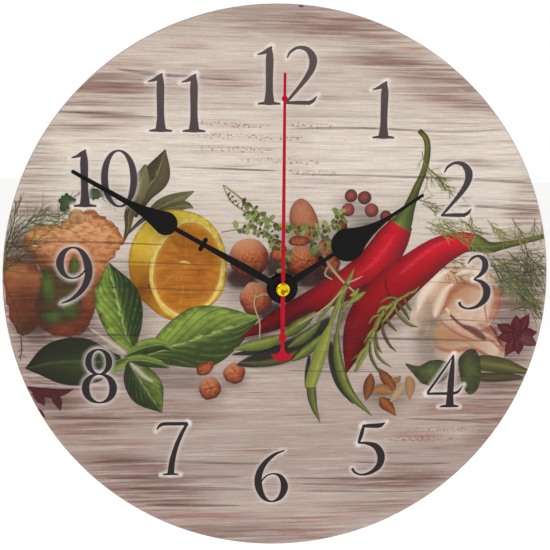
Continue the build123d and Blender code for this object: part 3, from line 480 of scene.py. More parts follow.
def make_boards(settings):
    """The board print itself, its darker corners and the painted soft shadows under the food."""
    disc = frame["nodes"]["dial_print"]
    disc.data.materials.clear()
    disc.data.materials.append(boards_ink(settings))

    brown = Film(1)
    for x, z, rx, rz, turn in (
        (-130, -20, 45, 50, 0), (-118, -62, 45, 26, -20), (-140, 10, 30, 50, 0),
        (-85, -112, 60, 26, -25),
        (-20, -142, 70, 12, 0), (-95, 103, 55, 14, 5), (95, 103, 48, 12, -12), (20, 140, 70, 12, 0),
        (132, -62, 40, 40, 0), (130, -5, 36, 50, 0), (110, -70, 40, 12, 0), (70, 118, 60, 10, -8),
        (-134, 66, 24, 34, 12), (138, 46, 20, 26, -10), (-64, -70, 46, 14, 0),
        (66, -112, 54, 12, 0),
        (-40, 112, 26, 4, 0), (-100, 88, 40, 8, 4), (104, 68, 26, 4, -4), (-130, 44, 24, 8, 0),
        (-110, -76, 34, 14, 0), (-78, -102, 34, 12, -10), (-60, -118, 34, 10, 0),
        (60, 122, 34, 8, -10), (-92, 108, 40, 8, 0),
        (30, 138, 44, 8, -6), (56, -128, 44, 8, 4), (74, -112, 30, 8, 0), (120, -84, 24, 10, 30),
    ):
        brown.oval(x, z, rx, rz, turn, around=36, rings=6)
    # bare wood where the wash has rubbed off: warm brown that follows the grain
    brown.finish("printed_scuffed_boards", soft_ink("Printed scuffed wood", "#76514A", 0.74,
        uneven=0.8), sheet=True)

    rust = Film(1.5)
    for x, z, rx, rz, turn in (
        (34, 143, 34, 4, -4), (62, 130, 26, 4, -14), (100, 110, 20, 4, -10), (124, 100, 20, 5, -24),
        (86, 104, 20, 3, 0),
        (-112, 106, 24, 4, 6), (-84, 118, 22, 3, 2), (-50, 128, 16, 3, 0), (-30, 108, 26, 3, 0),
        (-134, 88, 18, 5, 30),
        (100, -70, 30, 5, 2), (120, -76, 16, 6, 0), (78, -86, 20, 4, 0), (60, -96, 20, 3, 0),
        (-44, -132, 40, 5, 0),
        (24, -134, 44, 6, 0), (-122, -80, 18, 4, 0), (20, -144, 30, 4, 0), (-90, -88, 26, 4, 0),
        (-16, -94, 24, 3, 0),
    ):
        rust.oval(x, z, rx, rz, turn, around=30, rings=5)
    # red-brown primer that shows through in thin runs
    rust.finish("printed_rusty_boards", soft_ink("Printed red-brown wood", "#8E473D", 0.5, full=0.7,
        uneven=0.85), sheet=True)

    shade = Film(2)
    for x, z, rx, rz, turn in (
        (-100, -35, 50, 26, -8), (-60, -50, 40, 14, 0), (-132, 20, 26, 30, 0), (2, -28, 45, 24, 10),
        (12, 4, 34, 22, 30), (-20, 2, 24, 20, 0), (-39, -60, 13, 8, 0), (-26, -52, 11, 8, 0),
        (-82, -6, 22, 30, 0), (30, -30, 30, 26, 45), (60, -16, 34, 16, 35), (112, -52, 42, 12, -5),
        (12, 28, 24, 16, 0), (44, 40, 22, 12, -30), (128, -30, 26, 22, 0), (60, -62, 22, 14, 0),
        (-128, -62, 24, 12, -20), (134, 0, 24, 30, 0), (84, -28, 14, 30, 0), (-134, -24, 18, 14, 0),
    ):
        shade.oval(x, z, rx, rz, turn, around=36, rings=6)
    # soft warm dark under the food, so that it seems to lie on the boards
    shade.finish("printed_shadows", soft_ink("Printed soft shadow", "#3E2B24", 0.6, uneven=0.3),
        sheet=True)

    # rows of worn specks, where an old mark has been rubbed away
    worn = Film(3)
    for left, right, z in ((-52, -6, 88), (-50, 16, 81.5), (-46, -2, 75), (-24, 22, 69),
            (2, 30, 63), (2, 28, 88), (60, 104, -88), (72, 112, -82)):
        worn.ribbon([(left, z, 1.6), ((left + right) / 2, z - 0.6, 2.2), (right, z - 1.5, 1.6)],
            along=16, across=4)
    # brick-red grit, speckled along the grain
    worn.finish("printed_worn_specks", soft_ink("Printed worn specks", "#8A4F44", 0.75, full=0.5,
        specks=1.1), sheet=True)

    scorch = Film(3.5)
    scorch.ribbon([(7.6, 149.1, 0.5), (8.9, 149.0, 0.9), (10.2, 148.9, 0.5)], along=8)
    # a near black nick at the rim
    scorch.finish("printed_rim_scorch", soft_ink("Scorched rim", "#2C211D", 0.9, full=0.4),
        sheet=True)


def make_joints():
    """Dark joints and cracks between the boards, which run over everything but the numerals."""
    joints = Film(30)
    for line in (
        [(-120, 93, 0.4), (-95, 92, 1.0), (-62, 90.5, 0.3)],
        [(-92, 116, 0.4), (-70, 113, 1.4), (-40, 111, 0.8), (-20, 110, 0.3)],
        [(0, 85.5, 0.5), (40, 86.5, 0.7), (90, 85, 0.8), (128, 87, 0.6)],
        [(-60, 65, 0.4), (-30, 64, 0.8), (0, 63, 0.4)],
        [(0, 61.5, 0.6), (50, 61, 0.8), (100, 59.5, 1.1), (142, 57.5, 1.1)],
        [(95, 45, 0.5), (120, 44, 1.0), (146, 42, 1.0)],
        [(-146, 25, 0.6), (-100, 24.5, 0.7), (-60, 23, 0.5)],
        [(-146, 14, 0.5), (-90, 14, 0.7), (-35, 12, 0.6)],
        [(-100, 0.5, 0.3), (-60, -1, 0.9), (-28, -2, 0.5)],
        [(-140, -27, 0.5), (-100, -26, 0.8), (-72, -27, 0.5)],
        [(28, -28, 0.3), (60, -29.5, 0.8), (95, -30.5, 0.9), (128, -31.5, 0.5)],
        [(76, -20, 0.4), (100, -19, 0.5), (125, -21, 0.3)],
        [(76, 3, 0.3), (110, 1, 0.6), (146, -3, 0.6)],
        [(84, 11, 0.3), (120, 9, 0.5), (147, 7, 0.5)],
        [(0, -47, 0.3), (30, -48, 0.5), (60, -48.5, 0.3)],
        [(96, -51.5, 0.3), (120, -52, 0.9), (138, -53, 0.6)],
        [(0, -110, 0.5), (40, -111, 0.9), (80, -112, 1.0), (100, -112.5, 0.8)],
        [(6, -113.5, 0.4), (40, -115, 0.7), (86, -116.5, 0.5)],
        [(10, -118, 0.4), (60, -119.5, 0.6), (88, -119.5, 0.3)],
        [(-112, -99, 0.5), (-80, -98, 1.2), (-20, -101, 0.8), (0, -100, 0.3)],
        [(-100, -108, 0.5), (-60, -108, 1.6), (-18, -109, 1.0)],
        [(-90, -114, 0.6), (-50, -115, 1.8), (-10, -117, 0.6)],
        [(-80, -124, 0.6), (-50, -125, 1.4), (-20, -126, 0.5)],
        [(-138, -52, 0.4), (-120, -54, 0.6), (-100, -55, 0.3)],
        [(-128, -72, 0.4), (-100, -73, 0.8), (-80, -74, 0.3)],
        [(70, -76, 0.3), (100, -77.5, 0.9), (124, -80, 0.7)],
        [(40, -101, 0.4), (70, -103, 1.0), (100, -103, 0.6)],
    ):
        joints.ribbon(line, along=30, across=2)
    # dark cracks with soft edges that come and go
    joints.finish("printed_board_joints", soft_ink("Printed board joint", "#3B2A28", 0.62, full=0.6,
        uneven=0.45), sheet=True)


def make_citrus():
    """A cut citrus half: yellow rind, cream pith and amber flesh."""
    rind = Film(4)
    rind.patch([(-83, 12), (-81, 24), (-75, 34), (-66, 41), (-55, 42), (-44, 39), (-36, 32),
        (-31, 21), (-30, 8), (-33, -4), (-42, -13), (-54, -19), (-64, -17), (-72, -11), (-80, -2)],
        (-56, 12), rings=10)
    # waxy yellow skin, pitted with oil glands and brown in the shade
    rind.finish("printed_citrus_rind", printed_ink("Citrus rind print",
        [(0.0, "#C8B070"), (0.7, "#C6AE50"), (0.84, "#C4AE34"), (0.95, "#C2B048"),
        (1.0, "#9E8636")], along=[(0.0, "#E4BC84"), (0.07, "#FFF0D0"), (0.3, "#FFFFF8"),
        (0.5, "#FFF4D0"), (0.62, "#F0D098"), (0.75, "#F0C888"), (0.84, "#D8A070"),
        (0.92, "#8A4E34"), (1.0, "#D0A070")], mottle=("#A87818", 0.35, 4)))
    pith = Film(5)
    pith.patch([(-72, 6), (-70, 18), (-63, 29), (-54, 37), (-44, 36), (-36, 29), (-32.5, 19),
        (-31, 8), (-34, -3), (-43, -12), (-54, -17.5), (-64, -14), (-70, -4)], (-52, 10), rings=8)
    # dull cream ring between rind and flesh
    pith.finish("printed_citrus_pith", printed_ink("Citrus pith print",
        [(0.0, "#D2BE74"), (0.9, "#D0BE78"), (1.0, "#BEA848")], mottle=("#B08C44", 0.55, 3)))
    flesh = Film(6)
    flesh.patch([(-70, 6), (-68, 17), (-62, 27), (-54, 34.5), (-44.5, 34.5), (-37, 27), (-33.5, 18),
        (-32.6, 7), (-36, -4), (-43.5, -11), (-53.5, -15.8), (-63, -12.3), (-68.8, -3)], (-52, 12),
        rings=10)
    # wet amber pulp, with pale fibres that run out from its middle
    flesh.finish("printed_citrus_flesh", printed_ink("Citrus flesh print",
        [(0.0, "#B47634"), (0.1, "#A9651F"), (0.5, "#A8641A"), (0.88, "#B0701C"), (1.0, "#C4923A")],
        mottle=("#854612", 0.7, 3.4), stretch=3, grain=0.8, rays=("#CC9440", 34.0, 0.55)))
    glow = Film(7)
    glow.ribbon([(-50, -14, 1.0), (-40, -9, 1.8), (-34, 2, 1.4), (-32.6, 14, 0.6)], along=20)
    glow.ribbon([(-70, 3, 0.6), (-66, -8, 1.2), (-56, -15.5, 1.3), (-47, -14, 0.6)], along=20)
    glow.ribbon([(-56, 13.5, 0.4), (-53, 14, 1.0), (-49, 12.5, 0.4)], along=10)
    # wet glints on the cut rim
    glow.finish("printed_citrus_glints", soft_ink("Citrus glint print", "#E8CC7A", 0.6, full=1.0),
        sheet=True)


def make_ginger():
    """Peeled ginger and a barky root at the left."""
    root = Film(4)
    root.patch([(-149, 14), (-141, 15), (-132, 11), (-128, 2), (-130, -10), (-134, -22),
        (-141, -26), (-147, -14)], around=72, rings=8, rough=2.4, pitch=2.6, tone=0.32)
    root.patch([(-137, 28), (-132, 33), (-121, 34), (-112, 37), (-104, 41.5), (-95, 38), (-88, 31),
        (-86, 24), (-92, 16), (-96, 6), (-99, -4), (-102, -14), (-108, -25), (-120, -27),
        (-132, -20), (-130, -6), (-128, 6), (-133, 16), (-138, 22)], (-110, 18), around=110,
        rings=10, rough=2.2, pitch=3.0)
    root.oval(-109.5, 38, 4.6, 4.2, 0, around=20, rough=0.8, tone=0.4)
    # peeled ginger: pinkish tan and mottled, with painted shade that darkens it towards its foot
    # and painted light that pales its top
    root.finish("printed_ginger", printed_ink("Ginger print", [(0.0, "#C0885C"), (0.4, "#C9956A"),
        (0.7, "#CC9C70"), (0.88, "#BA8250"), (1.0, "#86543A")], mottle=("#84482E", 0.8, 2.3),
        light="#F0CCA8", stretch=1.8, sway=0.3, grain=0.8, down=[(-28, "#8C5444"), (-12, "#A8705C"),
        (2, "#C8A08A"), (14, "#ECD0BC"), (30, "#FFFAF0"), (42, "#FFFFFF")]))
    leaf = Film(6)
    leaf.patch([(-130, 13), (-122, 13), (-116, 9), (-113, 18), (-109, 19), (-107, 10), (-109, 2),
        (-106, -9), (-111, -20), (-121, -23), (-132, -20), (-135, -9), (-131, 3)], (-119, -3),
        around=72, rings=10)
    # a dark green leaf that lies in shade
    leaf.finish("printed_hidden_leaf", soft_ink("Shaded leaf print", "#28301C", 0.97, full=0.24,
        uneven=0.2), sheet=True)
    sheen = Film(7)
    sheen.oval(-111, 12, 3.4, 7.0, 8)
    sheen.oval(-114, -12, 6.5, 8.0, 20)
    sheen.oval(-126, 0, 4.5, 12.0, 6)
    sheen.oval(-124, -16, 7.0, 5.0, 0)
    # light that just reaches the leaf
    sheen.finish("printed_hidden_leaf_sheen", soft_ink("Lit leaf print", "#426028", 0.8, full=0.9),
        sheet=True)
    shadow = Film(8)
    for x, z, rx, rz in ((-136, -8, 17, 16), (-108, -16, 12, 16), (-104, 2, 7, 14),
            (-142, 20, 10, 14), (-133, -22, 14, 10), (-130, 14, 12, 10)):
        shadow.oval(x, z, rx, rz)
    # brown shade in the hollows of the root
    shadow.finish("printed_ginger_shade", soft_ink("Ginger shade print", "#3A2018", 0.75,
        uneven=0.5), sheet=True)


def leaf(film, points, tone=0.5):
    """A leaf from its midrib points, each (x, z, half width)."""
    film.ribbon(points, along=28, across=12, tone=tone)


def make_basil():
    """A sprig of basil with five leaves."""
    back = Film(8)
    leaf(back, [(-88, -40, 2), (-100, -41.5, 10.5), (-112, -41, 13.5), (-126, -41.5, 10.5),
        (-139.5, -44.5, 0.3)], tone=0.3)
    # a basil leaf turned away from the light
    back.finish("printed_basil_back", printed_ink("Shaded basil print",
        [(0.0, "#262C1C"), (0.25, "#2C3620"), (0.46, "#3A4A26"), (0.5, "#6E7A40"),
        (0.56, "#46542A"), (0.8, "#344026"), (1.0, "#24281C")], along=[(0.0, "#FFFFE0"),
        (0.25, "#E8E8D0"), (0.6, "#C8C8BC"), (1.0, "#A8A49C")], mottle=("#22241A", 0.5, 5),
        stretch=3))
    sprig = Film(9)
    leaf(sprig, [(-81, -35, 1.5), (-85, -26, 8.5), (-88, -12, 12.2), (-91, 0, 10.5),
        (-93.5, 13.5, 0.3)])
    leaf(sprig, [(-82, -39, 1.5), (-70, -36.5, 6), (-57, -32, 13.5), (-43, -27.5, 17.5),
        (-28, -22.5, 12), (-12, -17, 0.3)], tone=0.54)
    leaf(sprig, [(-83, -42, 3), (-79, -50, 8.5), (-73, -60, 9), (-66, -70.5, 0.3)], tone=0.24)
    leaf(sprig, [(-86, -38, 0.6), (-76, -33.5, 4.2), (-66, -32, 3.2), (-60, -35, 0.4)], tone=0.44)
    leaf(sprig, [(-88, -41, 1.2), (-78, -40.5, 3.4), (-68, -42.5, 2.6), (-62, -45, 0.4)], tone=0.44)
    leaf(sprig, [(-84, -40, 1.0), (-90, -44, 2.6), (-95, -49, 0.5)], tone=0.6)
    # fresh basil: a glossy mid green, lit on one half, with dark side veins
    sprig.finish("printed_basil", printed_ink("Basil print", [(0.0, "#202C18"), (0.2, "#26361A"),
        (0.4, "#344624"), (0.47, "#5A7034"), (0.5, "#9CAE62"), (0.54, "#566C2C"), (0.7, "#768A38"),
        (0.86, "#869A42"), (1.0, "#465A26")], mottle=("#1C2814", 0.55, 4.5), stretch=1.6,
        light="#96A84A", veins=("#1E2C14", 15.0, 1.0, 0.62), sway=0.1))
    streak = Film(10)
    streak.ribbon([(-106, -21, 0.6), (-97, -28, 2.0), (-90, -33, 2.6), (-83.5, -38.5, 1.0)],
        along=16, across=4)
    streak.ribbon([(-84, -41, 0.8), (-80, -45, 2.6), (-75, -50, 2.4), (-69, -53.5, 0.6)], along=16,
        across=4)
    # pale sunlit stalks with soft edges
    streak.finish("printed_pale_stalks", soft_ink("Pale stalk print", "#C4B4A4", 0.8, full=1.25),
        sheet=True)


def make_sage():
    """Two pairs of grey sage leaves above the citrus."""
    sage = Film(3)
    leaf(sage, [(-79, 38, 0.8), (-74, 50, 4.5), (-67, 61, 7.0), (-62.5, 74, 0.3)], tone=0.36)
    leaf(sage, [(-81, 38, 1.2), (-79, 47, 4.0), (-75.5, 57, 4.4), (-73, 66, 0.6)], tone=0.66)
    leaf(sage, [(-72, 40, 1.5), (-65, 43.5, 4.2), (-57, 47.5, 3.6), (-47.5, 52, 0.3)], tone=0.66)
    leaf(sage, [(-66, 42, 0.8), (-58, 43.5, 2.4), (-52, 44.5, 2.2), (-48, 43, 0.3)], tone=0.6)
    leaf(sage, [(-86, 23, 0.3), (-83, 32, 1.6), (-82, 40, 2.6), (-79, 50, 2.2)], tone=0.5)
    leaf(sage, [(-84, 28, 0.3), (-77, 35, 1.1), (-70, 40, 1.2)], tone=0.3)
    # downy grey-green sage with a light midrib
    sage.finish("printed_sage", printed_ink("Sage print", [(0.0, "#544B36"), (0.3, "#645C42"),
        (0.47, "#5C543A"), (0.5, "#938E6A"), (0.56, "#4E4633"), (1.0, "#453C2C")],
        along=[(0.0, "#C8A080"), (0.25, "#F0E8D8"), (1.0, "#FFFFFF")], mottle=("#3E3628", 0.45, 3),
        light="#9A9868"))


def make_nuts():
    """Hazelnuts, an almond, walnut pieces and two chickpeas."""
    nuts = Film(11)
    nuts.oval(-18, 16, 10.8, 10.8, 0, tone=0.5, rough=0.5, bulge=0.46)
    nuts.oval(-14, -6.5, 8.8, 9.0, 0, tone=0.48, rough=0.9, bulge=0.42)
    nuts.patch([(3, 14), (4, 20), (9, 23), (15, 22), (20, 18), (20.5, 11), (15, 6), (7, 6)],
        tone=0.5, rough=1.2, bulge=0.25)
    nuts.patch([(20, 24), (24, 27), (28, 25), (29, 19), (25, 15), (21, 18)], tone=0.62, rough=1.0)
    nuts.patch([(24, 18), (29, 18), (32, 13), (30, 7), (25, 8), (22, 12)], tone=0.42, rough=0.8,
        bulge=0.2)
    nuts.patch([(-6, 20), (-2, 25), (2, 23), (3, 17), (-1, 14), (-6, 16)], tone=0.45, rough=1.0)
    nuts.patch([(4, 26), (8, 28), (14, 27), (15, 24), (9, 22.5), (4, 24)], tone=0.3, rough=0.8)
    nuts.oval(-39.5, -57, 6.3, 6.6, 0, tone=0.5, rough=0.9, bulge=0.3)
    nuts.oval(-26, -48.5, 6.2, 6.0, 0, tone=0.5, rough=0.9, bulge=0.3)
    nuts.patch([(-46, -44), (-38, -41), (-37.5, -45), (-41, -49), (-46, -49)], tone=0.35)
    # red-brown nut skins, finely speckled, with painted shade at their rims and on the side away
    # from the light
    nuts.finish("printed_nuts", printed_ink("Nut skin print", [(0.0, "#BC6E3C"), (0.35, "#B46236"),
        (0.6, "#A6522F"), (0.82, "#823724"), (1.0, "#4E201C")], mottle=("#702A1C", 0.85, 1.7),
        light="#EAB488", sway=0.4))
    almond = Film(11.5)
    almond.patch([(10, 48.5), (15.5, 45), (19.5, 37), (20, 29), (15, 24), (8, 28), (4.2, 36),
        (5, 44)], (11, 40), rings=8, tone=0.5, bulge=0.12)
    # dusty tan skin with long wrinkles
    almond.finish("printed_almond", printed_ink("Almond skin print",
        [(0.0, "#B27658"), (0.5, "#AC6C4C"), (0.85, "#945840"), (1.0, "#704030")],
        mottle=("#7A4632", 0.6, 3.2), stretch=0.3, light="#DDA986"))
    nut_shade = Film(10.5)
    for x, z, rx, rz in ((16, 5, 12, 8), (0, 12, 14, 12), (-22, 5, 12, 8), (24, 12, 10, 14),
            (-6, -14, 10, 8)):
        nut_shade.oval(x, z, rx, rz)
    # painted deep red-brown shade between and under the nuts
    nut_shade.finish("printed_nut_shade", soft_ink("Nut shade print", "#301514", 0.93, full=0.5),
        sheet=True)
    folds = Film(12)
    for line in (
        [(-42, -52, 0.3), (-39, -57, 0.7), (-39.5, -62, 0.3)], [(-44, -58, 0.3), (-39, -57, 0.6),
        (-34.5, -55, 0.3)],
        [(-28, -44, 0.3), (-25, -48, 0.6), (-21, -50, 0.3)], [(-16, 1, 0.2), (-14, -6, 0.5),
        (-15, -13, 0.2)],
        [(6, 18, 0.3), (11, 15, 0.8), (18, 14, 0.3)], [(8, 9, 0.3), (13, 12, 0.7), (17, 18, 0.3)],
    ):
        folds.ribbon(line, along=10, across=2)
    # painted shade in the folds of the walnut and the chickpeas
    folds.finish("printed_nut_fold_shade", soft_ink("Nut fold shade print", "#5A2A1A", 0.6), sheet=True)


def make_peppercorns():
    """Six allspice berries."""
    berries = Film(11)
    for x, z, r, tone in ((37.5, 50, 3.5, 0.3), (45, 49, 3.7, 0.22), (36, 42.5, 3.6, 0.46),
            (49, 42.2, 3.8, 0.46), (57, 39, 3.2, 0.35), (32.5, 33.5, 3.3, 0.32)):
        berries.oval(x, z, r, r, 0, around=24, rings=5, tone=tone, rough=0.25, bulge=0.2)
    # dry matt berries with a dull red bloom
    berries.finish("printed_berries", printed_ink("Dried berry print",
        [(0.0, "#AC5C4A"), (0.4, "#984A3E"), (0.8, "#74362F"), (1.0, "#4E2624")],
        mottle=("#5A2A26", 0.5, 1.2), light="#B87868"))


def make_chillies():
    """Two red chillies with their green stalks."""
    skin = Film(13)
    skin.ribbon([(66.5, 35.5, 6.2), (61, 26, 9.2), (53, 14, 10.2), (42, 4.5, 9.6), (27, -3.5, 7.6),
        (12, -11.5, 6.6), (-4, -19.5, 5.0), (-22, -28, 0.6)], along=60, across=12, tone=0.48)
    skin.ribbon([(107.5, 24.5, 4.6), (99, 24.2, 6.4), (87, 19, 8.6), (75, 10, 10.2), (63, 0, 11.6),
        (52.5, -11, 11.6), (45, -22, 9.6), (40.5, -35, 6.0), (37, -49, 0.4)], along=60, across=12,
        tone=0.5)
    # polished chilli skin: clear red, with painted shade that takes it to maroon at edge and tip
    skin.finish("printed_chillies", printed_ink("Chilli skin print",
        [(0.0, "#8A1420"), (0.12, "#AE1022"), (0.3, "#CB1227"), (0.46, "#C81128"),
        (0.62, "#B61224"), (0.8, "#941823"), (1.0, "#661A20")], along=[(0.0, "#FFFFFF"),
        (0.28, "#ECD4D4"), (0.4, "#D4B6B6"), (0.55, "#B88E8E"), (0.7, "#967070"), (0.85, "#805A5A"),
        (1.0, "#7A5656")], mottle=("#7E141E", 0.35, 6), stretch=1.6, light="#EE4450", grain=0.45,
        sway=0.1))
    stalk = Film(14)
    stalk.ribbon([(65, 33.5, 6.4), (67, 37, 5.2), (70, 44, 3.2), (73.5, 54, 2.1), (77.5, 64, 1.7),
        (79, 74, 1.7), (78, 81, 1.6), (74, 85.5, 1.3)], along=40, across=6, tone=0.5)
    stalk.ribbon([(106, 25, 5.0), (110, 23.5, 4.6), (116, 21.8, 3.2), (124, 23, 2.2),
        (136, 25.5, 1.5), (148.5, 28.5, 1.2)], along=40, across=6, tone=0.44)
    # woody green stalks
    stalk.finish("printed_chilli_stalks", printed_ink("Chilli stalk print",
        [(0.0, "#40492A"), (0.3, "#566634"), (0.6, "#768644"), (0.85, "#586236"), (1.0, "#42462C")],
        along=[(0.0, "#FFFFF0"), (0.2, "#D4D4B8"), (0.6, "#D0C0A8"), (0.9, "#F0DCC0"),
        (1.0, "#A08468")], mottle=("#4A4228", 0.4, 3)))
    gloss = Film(15)
    gloss.ribbon([(63, 30, 1.0), (57, 21, 2.2), (49, 11.5, 2.0), (40, 6, 0.6)], along=24)
    gloss.ribbon([(98, 27, 0.6), (86, 23, 1.8), (74, 14, 2.4), (64, 5, 1.2)], along=24)
    # a broken highlight along the skin
    gloss.finish("printed_chilli_gloss", soft_ink("Chilli gloss print", "#E03C4C", 0.42, full=1.0,
        uneven=0.5), sheet=True)
    dark = Film(16)
    dark.ribbon([(58, 6, 0.4), (58.5, -1, 0.9), (62, -7, 0.8), (68, -9, 0.3)], along=16)
    dark.ribbon([(49, 3, 1.5), (42, -4, 4.5), (36, -12, 5.0), (33, -22, 2.0)], along=20)
    dark.ribbon([(20, -10, 1.5), (4, -19, 3.6), (-14, -27, 2.6), (-22, -30, 1.0)], along=20)
    # maroon shade where the chillies meet
    dark.finish("printed_chilli_shade", soft_ink("Chilli shade print", "#3A1018", 0.62, full=0.7),
        sheet=True)


def make_pods():
    """Bean pods and tarragon leaves that fan out under the centre."""
    gloom = Film(16)
    gloom.ribbon([(-26, -44, 1), (-12, -41, 5.5), (4, -36, 7.5), (18, -28, 6), (28, -16, 2)],
        along=24, tone=0.5)
    gloom.ribbon([(-28, -38, 0.5), (-14, -36, 2.5), (-2, -31, 2.5)], along=12)
    gloom.ribbon([(28, -30, 1.0), (28.5, -42, 2.2), (33, -56, 2.0), (42, -68, 0.5)], along=20)
    gloom.ribbon([(16, -38, 1.0), (15, -48, 1.8), (14, -58, 0.6)], along=12)
    # near black under the pods
    gloom.finish("printed_pod_shade", soft_ink("Pod shade print", "#1C1C18", 0.97, full=0.36),
        sheet=True)
    pods = Film(17)
    leaf(pods, [(-26.5, -35, 0.3), (-17, -33, 3.0), (-7, -31, 3.4), (2, -27, 1.0)], tone=0.58)
    leaf(pods, [(0, -28, 1.2), (7, -23.5, 3.4), (14, -18.5, 2.6), (19, -14, 0.5)], tone=0.5)
    leaf(pods, [(4, -34, 0.6), (11, -29.5, 3.0), (17, -25, 2.4), (22, -20, 0.4)], tone=0.36)
    leaf(pods, [(6, -42, 0.5), (13, -37, 2.8), (20, -31, 2.2), (26, -25, 0.8)], tone=0.5)
    leaf(pods, [(-23, -42.5, 0.4), (-10, -43, 2.0), (2, -40.5, 2.2), (9, -36, 0.6)], tone=0.08)
    leaf(pods, [(27, -22, 1.2), (24.5, -30, 3.0), (21, -41, 3.7), (17, -55, 3.3),
        (16.5, -58.5, 1.4)], tone=0.72)
    leaf(pods, [(17.2, -57, 2.7), (17.8, -63, 2.5), (19.5, -70, 1.6), (22.5, -77.5, 0.2)], tone=0.3)
    leaf(pods, [(31, -27, 1.2), (31.5, -38, 2.4), (35, -52, 2.9), (41, -63, 2.2), (52, -74, 0.3)],
        tone=0.46)
    leaf(pods, [(40, 10, 0.3), (37, 3, 1.4), (32, -8, 1.4), (27, -22, 1.1)], tone=0.6)
    leaf(pods, [(34, 0, 0.5), (28, -9, 0.9), (20, -20, 0.8)], tone=0.55)
    leaf(pods, [(35, -4, 0.4), (33, -16, 0.9), (31, -28, 0.9)], tone=0.45)
    leaf(pods, [(46.5, -3, 0.5), (42, -6, 1.8), (38, -9, 1.0), (34, -14, 0.4)], tone=0.62)
    leaf(pods, [(43, -1, 0.4), (40.5, -4, 1.3), (38, -5, 0.4)], tone=0.7)
    # bean pods: dull green edges round a yellow-green middle
    pods.finish("printed_pods", printed_ink("Bean pod print", [(0.0, "#2E381C"), (0.25, "#56622A"),
        (0.5, "#6C7431"), (0.62, "#868C40"), (0.8, "#62682F"), (1.0, "#383E22")],
        mottle=("#3C4420", 0.4, 4), stretch=0.7, light="#B4B854", sway=0.12))
    twigs = Film(18)
    for line in (
        [(23, 18, 0.5), (27, 11, 0.7), (34, 3, 0.6), (43, -5, 0.4)], [(26, 12, 0.3), (24, 7, 0.5),
        (28, 4, 0.3)],
        [(34, -2, 0.4), (24, -12, 0.5), (10, -21, 0.4)], [(-14, -3, 0.3), (-15, -10, 0.4),
        (-12, -20, 0.4), (-12, -29, 0.3)],
        [(-15, -6, 0.3), (-10, -4, 0.7), (-6, -5, 0.3)], [(36, 2, 0.3), (41, 4, 0.5), (45, 6, 0.2)],
    ):
        twigs.ribbon(line, along=14, across=2, tone=0.6)
    # straw-coloured dry twigs
    twigs.finish("printed_twigs", printed_ink("Dry twig print", [(0.0, "#75602E"), (0.5, "#A08A4A"),
        (1.0, "#665028")], mottle=("#5A4A28", 0.3, 3)))


def make_rosemary():
    """A rosemary sprig over the second chilli."""
    sprig = Film(19)
    sprig.ribbon([(75, -2, 0.5), (66, -7, 0.9), (59, -12, 1.1), (54.5, -19, 1.3), (51, -28, 1.4),
        (47, -38, 1.5), (42, -48.5, 0.8)], along=30, across=4, tone=0.62)
    for points, tone in (
        ([(62, -9, 0.5), (66, -16, 1.0), (72, -21.5, 0.9), (77, -23, 0.2)], 0.4),
        ([(58, -13, 0.5), (60, -20, 1.1), (65, -25.5, 0.3)], 0.15),
        ([(56, -17, 0.5), (57.5, -26, 0.9), (61, -33, 0.8), (65, -37, 0.2)], 0.12),
        ([(53, -24, 0.4), (54, -33, 0.9), (57, -38, 0.2)], 0.2),
        ([(52, -28, 0.4), (54, -38, 0.9), (58, -43, 0.7), (62.5, -46, 0.2)], 0.4),
        ([(50, -31, 0.5), (50.5, -39, 0.9), (54, -46, 0.8), (57.5, -50, 0.3)], 0.18),
        ([(64, -8, 0.4), (69, -14, 0.9), (72, -19, 0.3)], 0.1),
        ([(68, -6, 0.4), (71, -11, 0.9), (73, -14, 0.2)], 0.25),
        ([(70, -4, 0.4), (74, -3, 0.8), (77, 0, 0.2)], 0.6),
        ([(65, -7, 0.4), (62, -13, 1.0), (57, -20, 0.4)], 0.66),
        ([(60, -11, 0.4), (56, -12, 0.9), (53.5, -15, 0.2)], 0.7),
        ([(57, -15, 0.4), (51.5, -17, 0.8), (49, -21, 0.2)], 0.5),
        ([(47, -38, 0.5), (43, -39, 0.8), (39.5, -42, 0.2)], 0.2),
        ([(66, -7, 0.4), (60, -6, 0.7), (55, -9, 0.2)], 0.5),
        ([(49, -33, 0.4), (45, -38, 1.0), (42, -44, 0.5)], 0.7),
        ([(55, -21, 0.4), (50, -26, 0.8), (46.5, -32, 0.2)], 0.6),
    ):
        sprig.ribbon(points, along=12, across=4, tone=tone)
    # narrow needles, grey-green below and yellow-green on top
    sprig.finish("printed_rosemary", printed_ink("Rosemary print",
        [(0.0, "#34361E"), (0.4, "#62622E"), (0.62, "#8C8A40"), (1.0, "#4A4A28")],
        mottle=("#33351C", 0.35, 3), light="#AEAE5C"))


